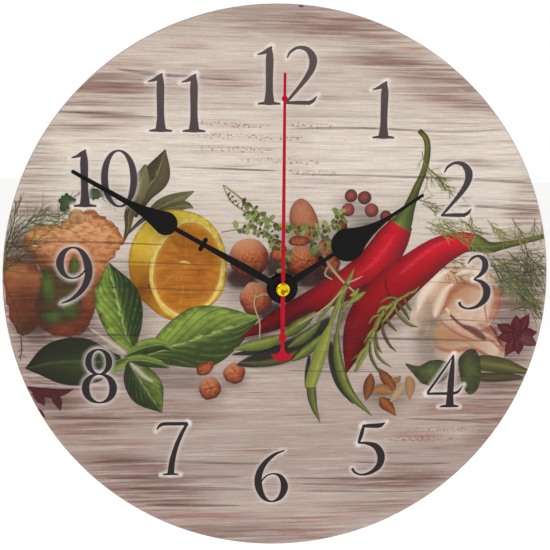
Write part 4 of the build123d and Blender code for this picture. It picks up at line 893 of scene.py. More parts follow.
def make_garlic():
    """A split garlic head with papery orange skins."""
    head = Film(4)
    head.patch([(73, -14), (77, -4), (83, 6), (91, 13), (102, 16.5), (113, 13), (120, 5),
        (122.5, -6), (121, -16), (117, -23), (108, -25), (98, -22), (90, -26), (84, -32), (77, -28),
        (73, -21)], (98, -3), around=64, rings=10, tone=0.5)
    head.patch([(84, -22), (89, -17), (95, -16), (102, -21), (111, -25), (121, -29), (127, -37),
        (125, -43), (113, -37), (104, -40), (94, -43), (86, -38), (83, -30)], (98, -29), around=56,
        rings=8, tone=0.45)
    # papery garlic: cream and pale brown, in soft clouds
    head.finish("printed_garlic", printed_ink("Garlic skin print",
        [(0.0, "#A87A5A"), (0.3, "#B48C6E"), (0.6, "#C6AA92"), (0.9, "#CAB4A2"), (1.0, "#C0AC9C")],
        mottle=("#9C6C4C", 0.5, 6), light="#EADCCC", sway=0.3))
    amber = Film(5)
    amber.patch([(83, -27), (86, -20), (91, -16), (95, -22), (97, -31), (93, -38), (87, -35)],
        tone=0.5)
    amber.patch([(90, 8), (95, 12), (101, 9), (98, 3), (92, 2)])
    # warm amber skin that the light comes through
    amber.finish("printed_garlic_amber", soft_ink("Garlic amber print", "#C08030", 0.6, full=1.4),
        sheet=True)
    skin, deep = Film(6), Film(6.5)
    for points in (
        [(88, -19, 0.5), (92.5, -10, 2.6), (96, -3, 3.2), (103, 1.0, 3.4), (110, 0, 3.4),
        (115, -3, 1.0)],
        [(117, 1, 0.8), (122, -5, 4.2), (121, -13, 5.0), (117, -22, 2.0)],
        [(92, -12, 0.6), (97, -18, 1.8), (104, -23.5, 2.2), (112, -27.5, 2.0), (120, -31.5, 1.6),
        (127, -38, 0.5)],
        [(88, -18, 0.6), (95, -24, 1.2), (104, -29, 1.2), (112, -31, 0.5)],
        [(110, -21, 1.0), (118, -25, 4.0), (124, -31, 4.0), (127, -40, 1.0)],
        [(116, -4, 0.5), (115, -12, 1.2), (117, -22, 0.6)], [(86, -34, 1.0), (96, -37, 2.4),
        (108, -36, 2.6), (120, -40, 1.0)],
    ):
        skin.ribbon(points, along=24, across=8)
    # rust-coloured edges of the paper skins
    skin.finish("printed_garlic_skins", soft_ink("Garlic paper print", "#97482C", 0.8, full=0.9,
        uneven=0.35), sheet=True)
    for points in ([(101, -22, 0.8), (108, -24.5, 2.8), (113, -28, 3.4), (117, -31.5, 0.8)],
            [(118, -22, 0.4), (122, -27, 1.2), (126, -35, 0.5)], [(93, -13, 0.4), (98, -19, 0.9),
            (106, -25, 0.5)]):
        deep.ribbon(points, along=20, across=8)
    # painted dark shade in the creases between the cloves
    deep.finish("printed_garlic_crease_shade", soft_ink("Garlic crease shade print", "#5A2020", 0.85,
        full=0.7), sheet=True)
    pale = Film(7)
    for points in (
        [(95, -17, 0.4), (94, -14, 1.5), (92, -12, 0.4)], [(96, 6, 0.8), (106, 9, 3.0),
        (115, 5, 0.8)],
        [(76, -16, 0.8), (79, -6, 4.0), (86, 4, 4.0), (96, 11, 1.2)],
        [(86, -19, 1.0), (88, -11, 4.2), (92, -2, 3.0), (98, 3, 0.8)],
    ):
        pale.ribbon(points, along=16)
    # chalky highlights on the cloves
    pale.finish("printed_garlic_glints", soft_ink("Garlic glint print", "#DDCBB8", 0.75, full=1.0),
        sheet=True)


def make_spices():
    """Star anise, seeds and small pods."""
    star = Film(8)
    for k in range(8):
        a = math.radians(12 + 45 * k + (6 if k % 2 else -5))
        reach = 13.5 if k % 2 else 11.5
        c, s = math.cos(a), math.sin(a)
        star.ribbon([(134.5 + c * 1, -28 + s * 1, 1.6), (134.5 + c * reach * 0.55,
            -28 + s * reach * 0.55, 3.3), (134.5 + c * reach, -28 + s * reach, 0.3)], along=12,
            across=6, tone=0.45 + 0.08 * math.sin(3 * k))
    for points in (
        [(-139, -55, 0.6), (-131, -58, 2.6), (-122, -58.5, 2.2), (-114, -56.5, 0.3)],
        [(-136, -58, 1.0), (-132, -62, 2.2), (-130, -65.5, 0.3)],
        [(-126, -58, 1.4), (-123, -63, 2.4), (-121.5, -68.5, 0.3)],
        [(-137, -66, 0.5), (-133, -69, 1.4), (-130, -72, 0.3)],
    ):
        star.ribbon(points, along=12, across=6, tone=0.25)
    star.oval(134.5, -28, 2.6, 2.6, around=16, rings=4, tone=0.3)
    # dark red woody pods with a split down each arm
    star.finish("printed_star_anise", printed_ink("Star anise print",
        [(0.0, "#3A1018"), (0.3, "#5C1822"), (0.45, "#74242C"), (0.52, "#320C14"), (0.6, "#641C26"),
        (1.0, "#3A1016")], mottle=("#2A0E12", 0.5, 2.0)))
    seeds = Film(9)
    for points, tone in (
        ([(51, -49.5, 0.5), (50.5, -54, 2.9), (49.5, -60, 2.8), (48.5, -65, 0.4)], 0.36),
        ([(55, -46.5, 0.3), (58.5, -51, 2.6), (62.5, -56, 3.0), (65.5, -60, 0.4)], 0.44),
        ([(52.5, -60, 0.5), (55.5, -59, 2.9), (60, -59.5, 2.9), (63, -61, 0.5)], 0.62),
        ([(56.5, -63.5, 0.5), (59, -66.5, 3.4), (62.5, -70, 2.6), (66, -74.5, 0.2)], 0.5),
        ([(63, -52.5, 0.3), (66, -53.5, 1.8), (68, -51, 0.3)], 0.6),
        ([(69.5, -56, 0.4), (67.5, -59.5, 2.0), (65, -63, 1.9), (62.5, -66, 0.3)], 0.86),
        ([(72, -51.5, 1.2), (73.5, -55.5, 3.0), (73.5, -60.5, 2.4), (73.5, -65, 0.3)], 0.7),
    ):
        seeds.ribbon(points, along=14, across=8, tone=tone)
    # glossy tan husks with dark edges
    seeds.finish("printed_seeds", printed_ink("Seed husk print",
        [(0.0, "#552A18"), (0.3, "#80441F"), (0.55, "#965828"), (0.75, "#7E461F"),
        (1.0, "#4E2816")], mottle=("#5E3219", 0.4, 1.8), light="#D0B888"))
    bay = Film(8)
    bay.patch([(70.5, -44), (78, -45.5), (86, -42), (94, -43), (99, -46), (95, -52), (88, -57),
        (81, -56), (76, -51)], rings=8, tone=0.44, rough=0.5)
    bay.patch([(101, -42), (105, -37), (110, -36), (113.5, -42), (114.5, -52), (112.5, -60),
        (108, -62.5), (104, -57), (102, -50)], rings=8, tone=0.36)
    # dull dark green leaves, lighter in their middles
    bay.finish("printed_bay_leaves", printed_ink("Bay leaf print",
        [(0.0, "#565E34"), (0.35, "#44482A"), (0.7, "#363824"), (1.0, "#2A2A1E")],
        mottle=("#6E7A40", 0.35, 4), sway=0.3))
    long_leaf = Film(7)
    leaf(long_leaf, [(106, -44, 2.0), (116, -44, 4.6), (128, -46, 4.2), (141, -49.5, 1.6)],
        tone=0.5)
    # a darkened copy below the leaf is its painted shadow
    leaf(long_leaf, [(104, -52, 1.0), (118, -52.5, 2.6), (130, -52.5, 2.4), (139, -53, 1.0)],
        tone=0.16)
    # olive leaf with a light midrib, and its painted shadow in the same ink
    long_leaf.finish("printed_long_leaf", printed_ink("Long leaf print",
        [(0.0, "#36341E"), (0.3, "#54522A"), (0.5, "#6E6C38"), (0.7, "#52502A"), (1.0, "#3A3622")],
        mottle=("#3E3A20", 0.45, 5), stretch=4))


HAIR_HALF = 0.16  # half width of a hair in mm
HAIR_LEAN = 34.0  # degrees that a hair leans away from its stalk


def hairs(film, line, number, length, spread, tone, seed):
    """Side hairs along a stalk, as on dill and other feathery herbs."""
    half, lean = HAIR_HALF, HAIR_LEAN
    path = curve_through([(x, z, 0) for x, z in line], number)
    film.ribbon([(x, z, half * 1.6) for x, z in line], along=number, across=1, tone=tone, lift=6)
    for i in range(1, number):
        run = path[i + 1] - path[i - 1]
        heading = math.atan2(run.y, run.x)
        for side in (-1, 1):
            chance = noise.noise(Vector((i * 1.73 + seed, side * 3.1 + 0.4, seed * 0.7)))
            other = noise.noise(Vector((i * 2.31 - seed, side * 5.7 + 0.3, 4.2 + seed)))
            a = heading + side * math.radians(lean + spread * 2 * chance)
            b = a + side * math.radians(50 * other - 14)
            reach = length * max(0.35, 0.9 + 1.3 * other)
            x, z = path[i].x, path[i].y
            mid = (x + math.cos(a) * reach * 0.5, z + math.sin(a) * reach * 0.5)
            end = (mid[0] + math.cos(b) * reach * 0.5, mid[1] + math.sin(b) * reach * 0.5)
            shade = min(0.95, max(0.05, tone + 0.7 * chance))
            film.ribbon([(x, z, half), (*mid, half * 1.1), (*end, half * 0.4)], along=4, across=1,
                tone=shade, lift=i % 6)
            c = a - side * math.radians(40 + 30 * chance)
            tip = (mid[0] + math.cos(c) * reach * 0.4, mid[1] + math.sin(c) * reach * 0.4)
            film.ribbon([(*mid, half), (*tip, half * 0.4)], along=2, across=1, tone=shade,
                lift=i % 6)


def leafy(film, line, number, size, tone, seed):
    """Pairs of small leaves along a stalk, as on thyme."""
    path = curve_through([(x, z, 0) for x, z in line], number)
    for i in range(1, number + 1):
        run = path[i] - path[i - 1]
        heading = math.atan2(run.y, run.x)
        for side in (-1, 1):
            chance = noise.noise(Vector((i * 1.9 + seed, side * 2.3 + 0.6, seed)))
            other = noise.noise(Vector((i * 2.7 - seed, side * 4.1 + 0.2, seed + 7.3)))
            a = heading + side * math.radians(62 + 110 * chance)
            reach = size * (1 + 0.9 * other)
            x, z = path[i].x, path[i].y
            c, d = math.cos(a), math.sin(a)
            film.ribbon([(x + c * 0.2, z + d * 0.2, 0.15), (x + c * reach * 0.35,
                z + d * reach * 0.35, reach * 0.26), (x + c * reach * 0.75, z + d * reach * 0.75,
                reach * 0.27), (x + c * reach, z + d * reach, 0.1)], along=8, across=4,
                tone=min(0.95, max(0.05, tone + 1.1 * other + 0.4 * chance)),
                lift=(2 * i + side) % 8)


def make_dill():
    """Feathery dill round the second chilli and at the right edge."""
    dill = Film(20)
    for seed, (line, number, length, tone) in enumerate((
        ([(76, 74), (78, 66), (82, 61), (88, 57)], 8, 9, 0.5), ([(79, 66), (86, 60), (90, 53)], 6,
        8, 0.45),
        ([(82, 63), (90, 56), (97, 47)], 6, 7, 0.55), ([(75, 48), (82, 46), (89, 42)], 6, 6, 0.5),
        ([(77, 46), (84, 42), (88, 40)], 4, 6, 0.55),
        ([(80, 36), (88, 33), (98, 29), (110, 19)], 10, 10, 0.55), ([(79, 33), (90, 30), (104, 26)],
        8, 8, 0.62),
        ([(84, 40), (92, 35), (102, 30)], 7, 8, 0.6), ([(96, 41), (103, 34), (112, 29)], 7, 7, 0.5),
        ([(104, 42), (106, 32), (111, 22), (116, 17)], 9, 8, 0.5),
        ([(114, 37), (120, 31), (126, 25)], 7, 8, 0.62),
        ([(117, 33), (128, 28), (138, 26)], 7, 9, 0.6), ([(128, 38), (133, 31), (136, 26)], 6, 8,
        0.4),
        ([(141, 38), (141, 31), (140, 26)], 5, 7, 0.35), ([(146, 38), (146, 31), (143, 26)], 5, 6,
        0.3),
    )):
        hairs(dill, line, number, length, 22, tone=tone, seed=seed * 3.7)
    # feathery yellow-green, browned in places
    dill.finish("printed_dill", printed_ink("Dill print", [(0.0, "#585A2C"), (0.5, "#848642"),
        (1.0, "#5E5E34")], mottle=("#64482A", 0.5, 10), light="#AEB25E"))
    deep = Film(6)
    for seed, (line, number, length, tone) in enumerate((
        ([(113, 18), (122, 8), (132, -2), (143, -12)], 14, 12, 0.4),
        ([(118, 17), (130, 8), (140, -3), (148, -14)], 14, 12, 0.3),
        ([(126, 20), (136, 11), (145, 0)], 10, 12, 0.28), ([(134, 21), (142, 14), (148, 6)], 8, 11,
        0.2),
        ([(117, 6), (127, 0), (138, -7), (146, -11)], 12, 10, 0.6),
        ([(116, -1), (128, -2), (141, -8)], 8, 6, 0.66),
        ([(136, 24), (140, 12), (141, -2)], 10, 11, 0.2), ([(124, 16), (130, 4), (140, -10)], 10,
        11, 0.5),
        ([(114, 12), (124, 12), (138, 16)], 8, 10, 0.5), ([(120, 2), (134, 6), (147, 12)], 8, 11,
        0.25), ([(130, -14), (140, -12), (147, -18)], 6, 9, 0.3),
        ([(84, 12), (94, 9), (104, 2)], 5, 8, 0.3), ([(88, 15), (98, 14), (108, 8)], 5, 7, 0.35),
        ([(-149, 6), (-146, 20), (-138, 32), (-126, 38)], 14, 11, 0.25),
        ([(-148, 20), (-143, 34), (-141, 46)], 10, 9, 0.3),
        ([(-140, 30), (-130, 39), (-120, 38), (-113, 42)], 12, 9, 0.5),
        ([(-150, 8), (-143, 14), (-134, 20)], 9, 10, 0.2),
        ([(-146, 24), (-136, 22), (-128, 28)], 9, 9, 0.3),
        ([(-146, -4), (-143, -14), (-141, -30), (-142, -40)], 8, 3, 0.12),
        ([(-136, 36), (-124, 33), (-116, 36)], 8, 9, 0.45),
        ([(-112, 48), (-104, 52), (-96, 49), (-90, 46)], 8, 5, 0.5),
    )):
        hairs(deep, line, number, length, 24, tone=tone, seed=40 + seed * 2.9)
    # the same herb in shade, greyer
    deep.finish("printed_deep_herbs", printed_ink("Shaded herb print",
        [(0.0, "#3C4226"), (0.5, "#66703A"), (1.0, "#484E2C")], mottle=("#4E3826", 0.5, 10),
        light="#A0A25C"))
    bits = Film(7)
    bits.patch([(-119, 46), (-116, 50), (-112, 49), (-110, 46), (-113, 43), (-117, 41)], rough=1.2,
        pitch=1.5, tone=0.4)
    bits.patch([(-104, 49), (-101, 53), (-97, 52), (-94.5, 49.5), (-98, 48), (-101, 47)], rough=1.2,
        pitch=1.5, tone=0.5)
    # torn leaf with ragged edges
    bits.finish("printed_leaf_bits", printed_ink("Torn leaf print",
        [(0.0, "#4E6038"), (0.6, "#3E4E30"), (1.0, "#2E3824")], mottle=("#28301F", 0.5, 2)))


def make_thyme():
    """Thyme sprigs over the nuts."""
    sprig = Film(21)
    for line in (
        [(-32, 55.5, 0.3), (-22, 48, 0.45), (-10, 38.5, 0.5), (4, 30.5, 0.5)],
        [(-32, 55, 0.25), (-28, 47, 0.3), (-20, 41, 0.35), (-12, 37, 0.3)],
        [(-33, 30, 0.3), (-24, 31.5, 0.35), (-16, 32, 0.4), (-6, 25.5, 0.4), (3, 18, 0.4)],
        [(-1, 32, 0.3), (8, 31.5, 0.45), (17, 31, 0.45), (26, 33.5, 0.4), (33, 37.5, 0.3)],
        [(3, 20, 0.3), (1, 10, 0.35), (2, 6, 0.3)], [(16, 31, 0.3), (17, 24, 0.35), (19, 18, 0.3)],
    ):
        sprig.ribbon(line, along=18, across=2, tone=0.5)
    # wiry brown stalks
    sprig.finish("printed_thyme_stalks", printed_ink("Thyme stalk print",
        [(0.0, "#7A6238"), (0.5, "#A08850"), (1.0, "#6E5834")], mottle=("#6A7034", 0.5, 5)))
    leaves = Film(22)
    for seed, (line, number, size, tone) in enumerate((
        ([(-31, 53), (-27, 48), (-22, 44)], 5, 1.8, 0.3),
        ([(-24, 49), (-16, 43), (-6, 36), (3, 31)], 11, 3.1, 0.4),
        ([(-21, 42), (-16, 39), (-10, 36)], 7, 3.0, 0.42), ([(-20, 36), (-14, 34), (-8, 31)], 6,
        3.2, 0.45),
        ([(-28, 31), (-16, 32), (-6, 25.5), (3, 18)], 11, 3.0, 0.4), ([(-1, 32), (8, 32), (17, 31)],
        8, 3.0, 0.42),
        ([(17, 31), (26, 33.5), (33, 37.5)], 7, 3.2, 0.45), ([(3, 22), (1, 12), (2, 6)], 7, 3.0,
        0.35), ([(16, 31), (17, 24), (19, 18)], 6, 3.2, 0.35),
        ([(20, 32), (23, 27), (25, 22)], 4, 3.2, 0.5), ([(-6, 36), (-4, 29), (-3, 22)], 6, 3.2,
        0.25), ([(28, 33), (31, 37), (31, 42)], 4, 3.2, 0.4),
    )):
        leafy(leaves, line, number, size, tone, seed * 2.3)
    # small two-toned leaves, each with a pale fold
    leaves.finish("printed_thyme", printed_ink("Thyme leaf print",
        [(0.0, "#34401F"), (0.4, "#4A5A2A"), (0.5, "#74844A"), (0.6, "#46542A"), (1.0, "#2C381C")],
        mottle=("#6A7238", 0.5, 2.0), light="#A4AE60"))


# ---------------------------------------------------------------- numerals


def strokes():
    """Pen strokes of old-style serif figures about 31 mm tall.

    Each point is (x, z, half width) from the figure's middle.
    """
    six = [(7.0, 15.4, 0.35), (1.2, 13.0, 0.9), (-4.6, 7.6, 1.5), (-7.7, 0.8, 2.0),
        (-7.5, -6.4, 2.1), (-4.6, -12.6, 1.3), (0.0, -14.9, 0.5), (4.8, -12.4, 1.4),
        (7.1, -6.4, 2.1), (5.2, -0.6, 1.3), (1.2, 1.7, 0.5), (-3.4, 0.4, 0.5), (-6.6, -3.4, 0.4)]
    upper, lower = [], []
    for k in range(12):
        a = math.radians(30 * k)
        upper.append((5.6 * math.sin(a), 8.0 + 6.9 * math.cos(a),
            0.5 + 1.25 * abs(math.sin(a)) ** 1.6))
        lower.append((7.5 * math.sin(a), -6.9 + 8.1 * math.cos(a),
            0.5 + 1.6 * abs(math.sin(a)) ** 1.6))
    round_o = [(7.7 * math.sin(math.radians(30 * k)), 14.7 * math.cos(math.radians(30 * k)),
        0.5 + 1.35 * abs(math.sin(math.radians(30 * k))) ** 1.5) for k in range(12)]
    return {
        "0": [(round_o, True)],
        "1": [
            ([(1.4, 14.4, 1.0), (1.3, 9, 2.0), (1.2, 0, 1.9), (1.2, -8, 1.95), (1.2, -13.6, 2.7)],
            False),
            ([(-5.2, 10.7, 0.3), (-2.2, 11.6, 0.8), (0.6, 13.0, 1.3), (2.4, 15.0, 0.4)], False),
            ([(-4.8, -14.6, 0.45), (-1.5, -14.3, 0.8), (1.2, -14.2, 1.1), (4, -14.3, 0.8),
            (7.2, -14.6, 0.45)], False),
        ],
        "2": [
            ([(-7.4, 9.0, 0.3), (-5.6, 12.2, 0.7), (-1.4, 14.5, 0.8), (3.4, 13.4, 1.4),
            (6.3, 9.2, 2.1), (5.9, 4.2, 1.8), (3.0, -1.0, 1.4), (-1.2, -6.4, 1.0),
            (-4.9, -10.8, 0.8), (-7.6, -13.8, 0.6)], False),
            ([(-8.4, -14.2, 0.6), (-2, -14.0, 1.0), (5.2, -14.0, 1.1)], False),
            ([(4.6, -14.0, 1.0), (6.8, -12.8, 0.9), (8.7, -10.4, 0.2)], False),
        ],
        "3": [
            ([(-4.4, 10.6, 0.4), (-2.2, 13.6, 0.7), (1.4, 14.9, 0.8), (4.8, 12.6, 1.5),
            (5.5, 8.8, 1.8), (3.6, 5.0, 1.2), (-0.4, 2.0, 0.4)], False),
            ([(-0.8, 1.8, 0.4), (3.8, 0.2, 1.2), (6.9, -3.8, 2.1), (6.4, -9.0, 1.9),
            (2.4, -13.2, 1.1), (-3.0, -14.8, 0.6), (-7.2, -13.4, 0.7), (-8.5, -11.0, 0.9)], False),
        ],
        "4": [
            ([(4.4, 15.2, 0.4), (0.0, 8.2, 0.6), (-5.0, 0.6, 0.7), (-10.0, -6.8, 0.7)], False),
            ([(-10.2, -7.3, 0.7), (-3, -7.3, 0.8), (4, -7.3, 0.8), (7.6, -6.4, 0.8),
            (10.4, -2.8, 0.2)], False),
            ([(4.3, 15.0, 0.4), (3.9, 9, 1.2), (3.4, 0, 1.8), (3.2, -8, 1.9), (3.2, -13.8, 2.3)],
            False),
            ([(-2.6, -15.0, 0.4), (0.4, -14.7, 0.8), (3.2, -14.6, 1.0), (6.0, -14.7, 0.8),
            (8.4, -15.0, 0.4)], False),
        ],
        "5": [
            ([(-3.8, 13.8, 0.8), (1, 13.8, 1.2), (6.2, 14.0, 1.3), (9.4, 15.7, 0.2)], False),
            ([(-3.0, 14.2, 0.8), (-4.2, 9.0, 1.1), (-5.8, 3.6, 0.7)], False),
            ([(-5.8, 3.8, 0.5), (-1.2, 3.6, 0.9), (4.4, 1.4, 1.8), (7.4, -4.0, 2.2),
            (6.4, -9.8, 1.8), (2.0, -13.8, 1.1), (-3.4, -15.2, 0.6), (-7.4, -13.8, 0.7),
            (-9.2, -11.2, 0.8)], False),
        ],
        "6": [(six, False)],
        "7": [
            ([(-8.8, 10.8, 0.2), (-7.2, 13.2, 0.8), (-4.6, 14.4, 1.0), (2, 14.4, 1.0),
            (8.6, 14.4, 1.0)], False),
            ([(8.4, 14.6, 0.8), (5.0, 8.4, 1.1), (1.8, 0.6, 1.3), (-0.2, -7, 1.6),
            (-1.2, -14.6, 1.9)], False),
            ([(-5.6, -15.1, 0.4), (-1.2, -14.8, 0.7), (3.2, -15.1, 0.4)], False),
        ],
        "8": [(upper, True), (lower, True)],
        "9": [([(-x, -z, h) for x, z, h in six], False)],
    }


FIGURES = (
    ("1", -8.7, 113.0), ("2", 9.2, 113.2), ("1", 53.2, 96.0), ("2", 96.0, 53.8), ("3", 108.4, 2.2),
    ("4", 93.7, -54.3), ("5", 50.6, -93.8),
    ("6", -4.4, -109.0), ("7", -60.4, -91.4), ("8", -100.0, -49.2), ("9", -112.2, 6.8),
    ("1", -106.4, 58.4), ("0", -87.0, 58.4), ("1", -66.0, 98.2), ("1", -48.5, 98.2),
)


def make_numerals(settings):
    """The twelve numerals, each over a soft pale glow."""
    pen = strokes()
    glow, ink = Film(32), Film(36)
    widen = settings.glow_width / MM
    for figure, x, z in FIGURES:
        for points, closed in pen[figure]:
            grown = [(x + p, z + q, h + widen) for p, q, h in points]
            if not closed:
                a, b = Vector(grown[0]), Vector(grown[1])
                start = a + (a - b).normalized() * widen
                c, d = Vector(grown[-1]), Vector(grown[-2])
                end = c + (c - d).normalized() * widen
                grown = [(start.x, start.y, a.z * 0.6), *grown, (end.x, end.y, c.z * 0.6)]
            glow.ribbon(grown, along=44, across=6, ends=0.08, closed=closed)
            ink.ribbon([(x + p, z + q, h) for p, q, h in points], along=44, across=2, closed=closed)
    # a milky halo that lifts the numerals off the boards
    glow.finish("numeral_glow", soft_ink("Printed numeral glow", "#DDD3CA", 0.95, full=1.3),
        sheet=True)
    # dense ink that looks warmer and paler towards the lit top
    made, tree, shader = blank("Printed numeral ink")
    up = add(tree, "ShaderNodeSeparateXYZ",
        {"Vector": place(tree, (DIAL_SPAN,) * 3, (0.5, 0, 0.5))})
    shade = stops(add(tree, "ShaderNodeValToRGB", {"Fac": up.outputs["Z"]}),
        [(0.0, "#241D20"), (0.45, "#2C2428"), (0.7, "#40363A"), (1.0, "#5A4C4A")])
    colour, lines = under_grain(tree, shade, 0.3)
    feed(tree, shader, {"Base Color": colour})
    film_surface(tree, shader, lines)
    ink.finish("numerals", made)


# ---------------------------------------------------------------- CAD finishes

METAL_SHINE = 0.5  # the shader's own default, which metals keep

# name, base colour, second colour, mark size in mm, roughness, metallic, relief in mm, shine
COATS = {
    # soft and dead matt, and it hardly lights up at its edges
    "gasket_rubber": ("Moulded black rubber", "#1B1B1C", "#252526", 0.6, 0.8, 0.0, 0.03, 0.3),
    # a warm yellow glint with turning marks
    "brass_bright": ("Turned bright brass", "#C9A24A", "#B98E38", 0.5, 0.3, 1.0, 0.006,
    METAL_SHINE),
    # the fine spark texture of a clock case, which breaks up its highlights
    "case_black": ("Fine-textured moulded ABS", "#1D1E20", "#232427", 0.45, 0.55, 0.0, 0.03, 0.3),
    "cover_black": ("Sparked black ABS cover", "#1A1B1D", "#222326", 0.4, 0.6, 0.0, 0.03, 0.3),
    # milky and slightly waxy
    "plate_white": ("Moulded white acetal plate", "#D9D8D2", "#CFCDC5", 1.2, 0.42, 0.0, 0.01, 0.3),
    # solder resist over fibre, with a mild wet look
    "circuit_laminate": ("Green circuit laminate", "#2C5A34", "#244B2C", 0.8, 0.4, 0.0, 0.01, 0.3),
    # a poured drop, smooth enough to mirror a window
    "blob_epoxy": ("Cast black epoxy", "#121214", "#18181A", 0.7, 0.25, 0.0, 0.01, 0.3),
    "crystal_can": ("Drawn steel can", "#B4B4B0", "#9E9E9A", 0.6, 0.28, 1.0, 0.005, METAL_SHINE),
    # a slightly yellow silver
    "contact_steel": ("Nickel-plated spring strip", "#B9B6AC", "#A39F94", 0.7, 0.3, 1.0, 0.006,
    METAL_SHINE),
    # dull grey, with the satin of a blanking press
    "stator_iron": ("Stamped soft iron", "#8C8E90", "#77797B", 0.8, 0.4, 1.0, 0.01, METAL_SHINE),
    "bobbin_white": ("Moulded natural nylon", "#E2DED0", "#D6D1C1", 1.0, 0.45, 0.0, 0.01, 0.3),
    "gear_white": ("Moulded white acetal", "#E4E2DA", "#D8D6CC", 1.0, 0.38, 0.0, 0.008, 0.3),
    # charcoal and grainy, as pressed powder is
    "magnet_dark": ("Sintered ferrite", "#3A3836", "#2C2A29", 0.5, 0.6, 0.0, 0.02, 0.3),
    "arbor_steel": ("Ground steel", "#A9AAAC", "#8E9092", 0.4, 0.25, 1.0, 0.004, METAL_SHINE),
    "knob_black": ("Moulded black nylon knob", "#202123", "#292A2D", 0.4, 0.5, 0.0, 0.03, 0.3),
    "battery_steel": ("Nickel-plated can", "#B8B7B2", "#A2A19C", 0.7, 0.22, 1.0, 0.004,
    METAL_SHINE),
    # a deep black with one soft sheen along the blade
    "hand_black": ("Satin black stove enamel on aluminium", "#060607", "#0A0A0C", 0.5, 0.42, 0.0,
    0.01, 0.16),
    # one clear red, a little glossier than the black
    "hand_red": ("Satin red enamel on aluminium", "#B20522", "#A0041E", 0.6, 0.4, 0.0, 0.008, 0.16),
}


def coated(name, base, second, mark, rough, metal, relief, shine):
    """A surface with fine marks in its colour, gloss and relief."""
    made, tree, shader = blank(name)
    fine = add(tree, "ShaderNodeTexNoise", {"Vector": place(tree, (mark, mark, mark)), "Scale": 1.0,
        "Detail": 3.0, "Roughness": 0.6})
    wide = add(tree, "ShaderNodeTexNoise", {"Vector": place(tree, (14, 14, 14)), "Scale": 1.0,
        "Detail": 4.0})
    both = add(tree, "ShaderNodeMath", {0: fine, 1: wide}, operation="ADD")
    share = add(tree, "ShaderNodeMapRange", {"Value": both, "From Min": 0.75, "From Max": 1.25})
    colour = add(tree, "ShaderNodeMix", {"Factor": share, "A": base, "B": linear(second)},
        data_type="RGBA")
    gloss = add(tree, "ShaderNodeMapRange", {"Value": both, "From Min": 0.7, "From Max": 1.3,
        "To Min": rough * 0.85, "To Max": min(1.0, rough * 1.2)})
    bump = add(tree, "ShaderNodeBump", {"Height": fine, "Strength": 0.5, "Distance": relief * MM})
    feed(tree, shader, {"Base Color": colour, "Roughness": gloss, "Normal": bump.outputs["Normal"],
        "Metallic": metal, "Specular IOR Level": shine})
    return made


def board_fibre():
    """Laser-cut MDF: matt tan faces with short fibres, and an edge toasted by the cut."""
    made, tree, shader = blank("Laser-cut fibreboard")
    fibre = add(tree, "ShaderNodeTexNoise", {"Vector": place(tree, (0.9, 0.9, 0.9)), "Scale": 1.0,
        "Detail": 6.0, "Roughness": 0.7})
    face = stops(add(tree, "ShaderNodeValToRGB", {"Fac": fibre}),
        [(0.3, "#A58A68"), (0.5, "#B79B77"), (0.7, "#C4AA86")])
    here = add(tree, "ShaderNodeSeparateXYZ",
        {"Vector": add(tree, "ShaderNodeTexCoord").outputs["Object"]})
    ring = add(tree, "ShaderNodeCombineXYZ", {"X": here.outputs["X"], "Z": here.outputs["Z"]})
    out = add(tree, "ShaderNodeVectorMath", {0: ring}, operation="LENGTH")
    edge = add(tree, "ShaderNodeMapRange", {"Value": out, "From Min": 0.1488, "From Max": 0.1498},
        interpolation_type="SMOOTHSTEP")
    toast = stops(add(tree, "ShaderNodeValToRGB", {"Fac": fibre}),
        [(0.3, "#6E5C4C"), (0.6, "#8A7764")])
    colour = add(tree, "ShaderNodeMix", {"Factor": edge, "A": face, "B": toast}, data_type="RGBA")
    bump = add(tree, "ShaderNodeBump", {"Height": fibre, "Strength": 0.4, "Distance": 0.05 * MM})
    feed(tree, shader, {"Base Color": colour, "Normal": bump.outputs["Normal"], "Roughness": 0.8})
    return made


def battery_wrap(settings):
    """Shrunk plastic sleeve in two plain bands, glossy and faintly rippled round the can."""
    made, tree, shader = blank("Shrunk battery sleeve")
    low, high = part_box("battery_sleeve")
    here = add(tree, "ShaderNodeSeparateXYZ",
        {"Vector": add(tree, "ShaderNodeTexCoord").outputs["Object"]})
    along = add(tree, "ShaderNodeMapRange", {"Value": here.outputs["X"], "From Min": low.x,
        "From Max": high.x})
    band = stops(add(tree, "ShaderNodeValToRGB", {"Fac": along}), [(0.0, settings.battery),
        (0.66, settings.battery), (0.67, "#C98A2E"), (1.0, "#B97A26")])
    wrinkle = add(tree, "ShaderNodeTexNoise", {"Vector": place(tree, (1.5, 4, 4)), "Scale": 1.0,
        "Detail": 3.0})
    bump = add(tree, "ShaderNodeBump", {"Height": wrinkle, "Strength": 0.3, "Distance": 0.02 * MM})
    gloss = add(tree, "ShaderNodeMapRange", {"Value": wrinkle, "To Min": 0.22, "To Max": 0.36})
    feed(tree, shader, {"Base Color": band, "Roughness": gloss, "Normal": bump.outputs["Normal"]})
    return made


def winding_copper():
    """Enamelled copper wire in even turns: a warm shine, banded across the coil.

    The real turns are about 0.1 mm wide and are drawn three times as coarse, so that they show.
    """
    made, tree, shader = blank("Enamelled copper winding")
    here = add(tree, "ShaderNodeSeparateXYZ",
        {"Vector": add(tree, "ShaderNodeTexCoord").outputs["Object"]})
    turns = add(tree, "ShaderNodeMath", {0: here.outputs["X"], 1: 0.15 * MM}, operation="PINGPONG")
    share = add(tree, "ShaderNodeMapRange", {"Value": turns, "From Max": 0.15 * MM})
    colour = stops(add(tree, "ShaderNodeValToRGB", {"Fac": share}),
        [(0.0, "#5E2A14"), (0.5, "#B0603A"), (1.0, "#C87A4C")])
    bump = add(tree, "ShaderNodeBump", {"Height": share, "Strength": 0.6, "Distance": 0.05 * MM})
    feed(tree, shader, {"Base Color": colour, "Normal": bump.outputs["Normal"], "Metallic": 0.85,
        "Roughness": 0.34})
    return made


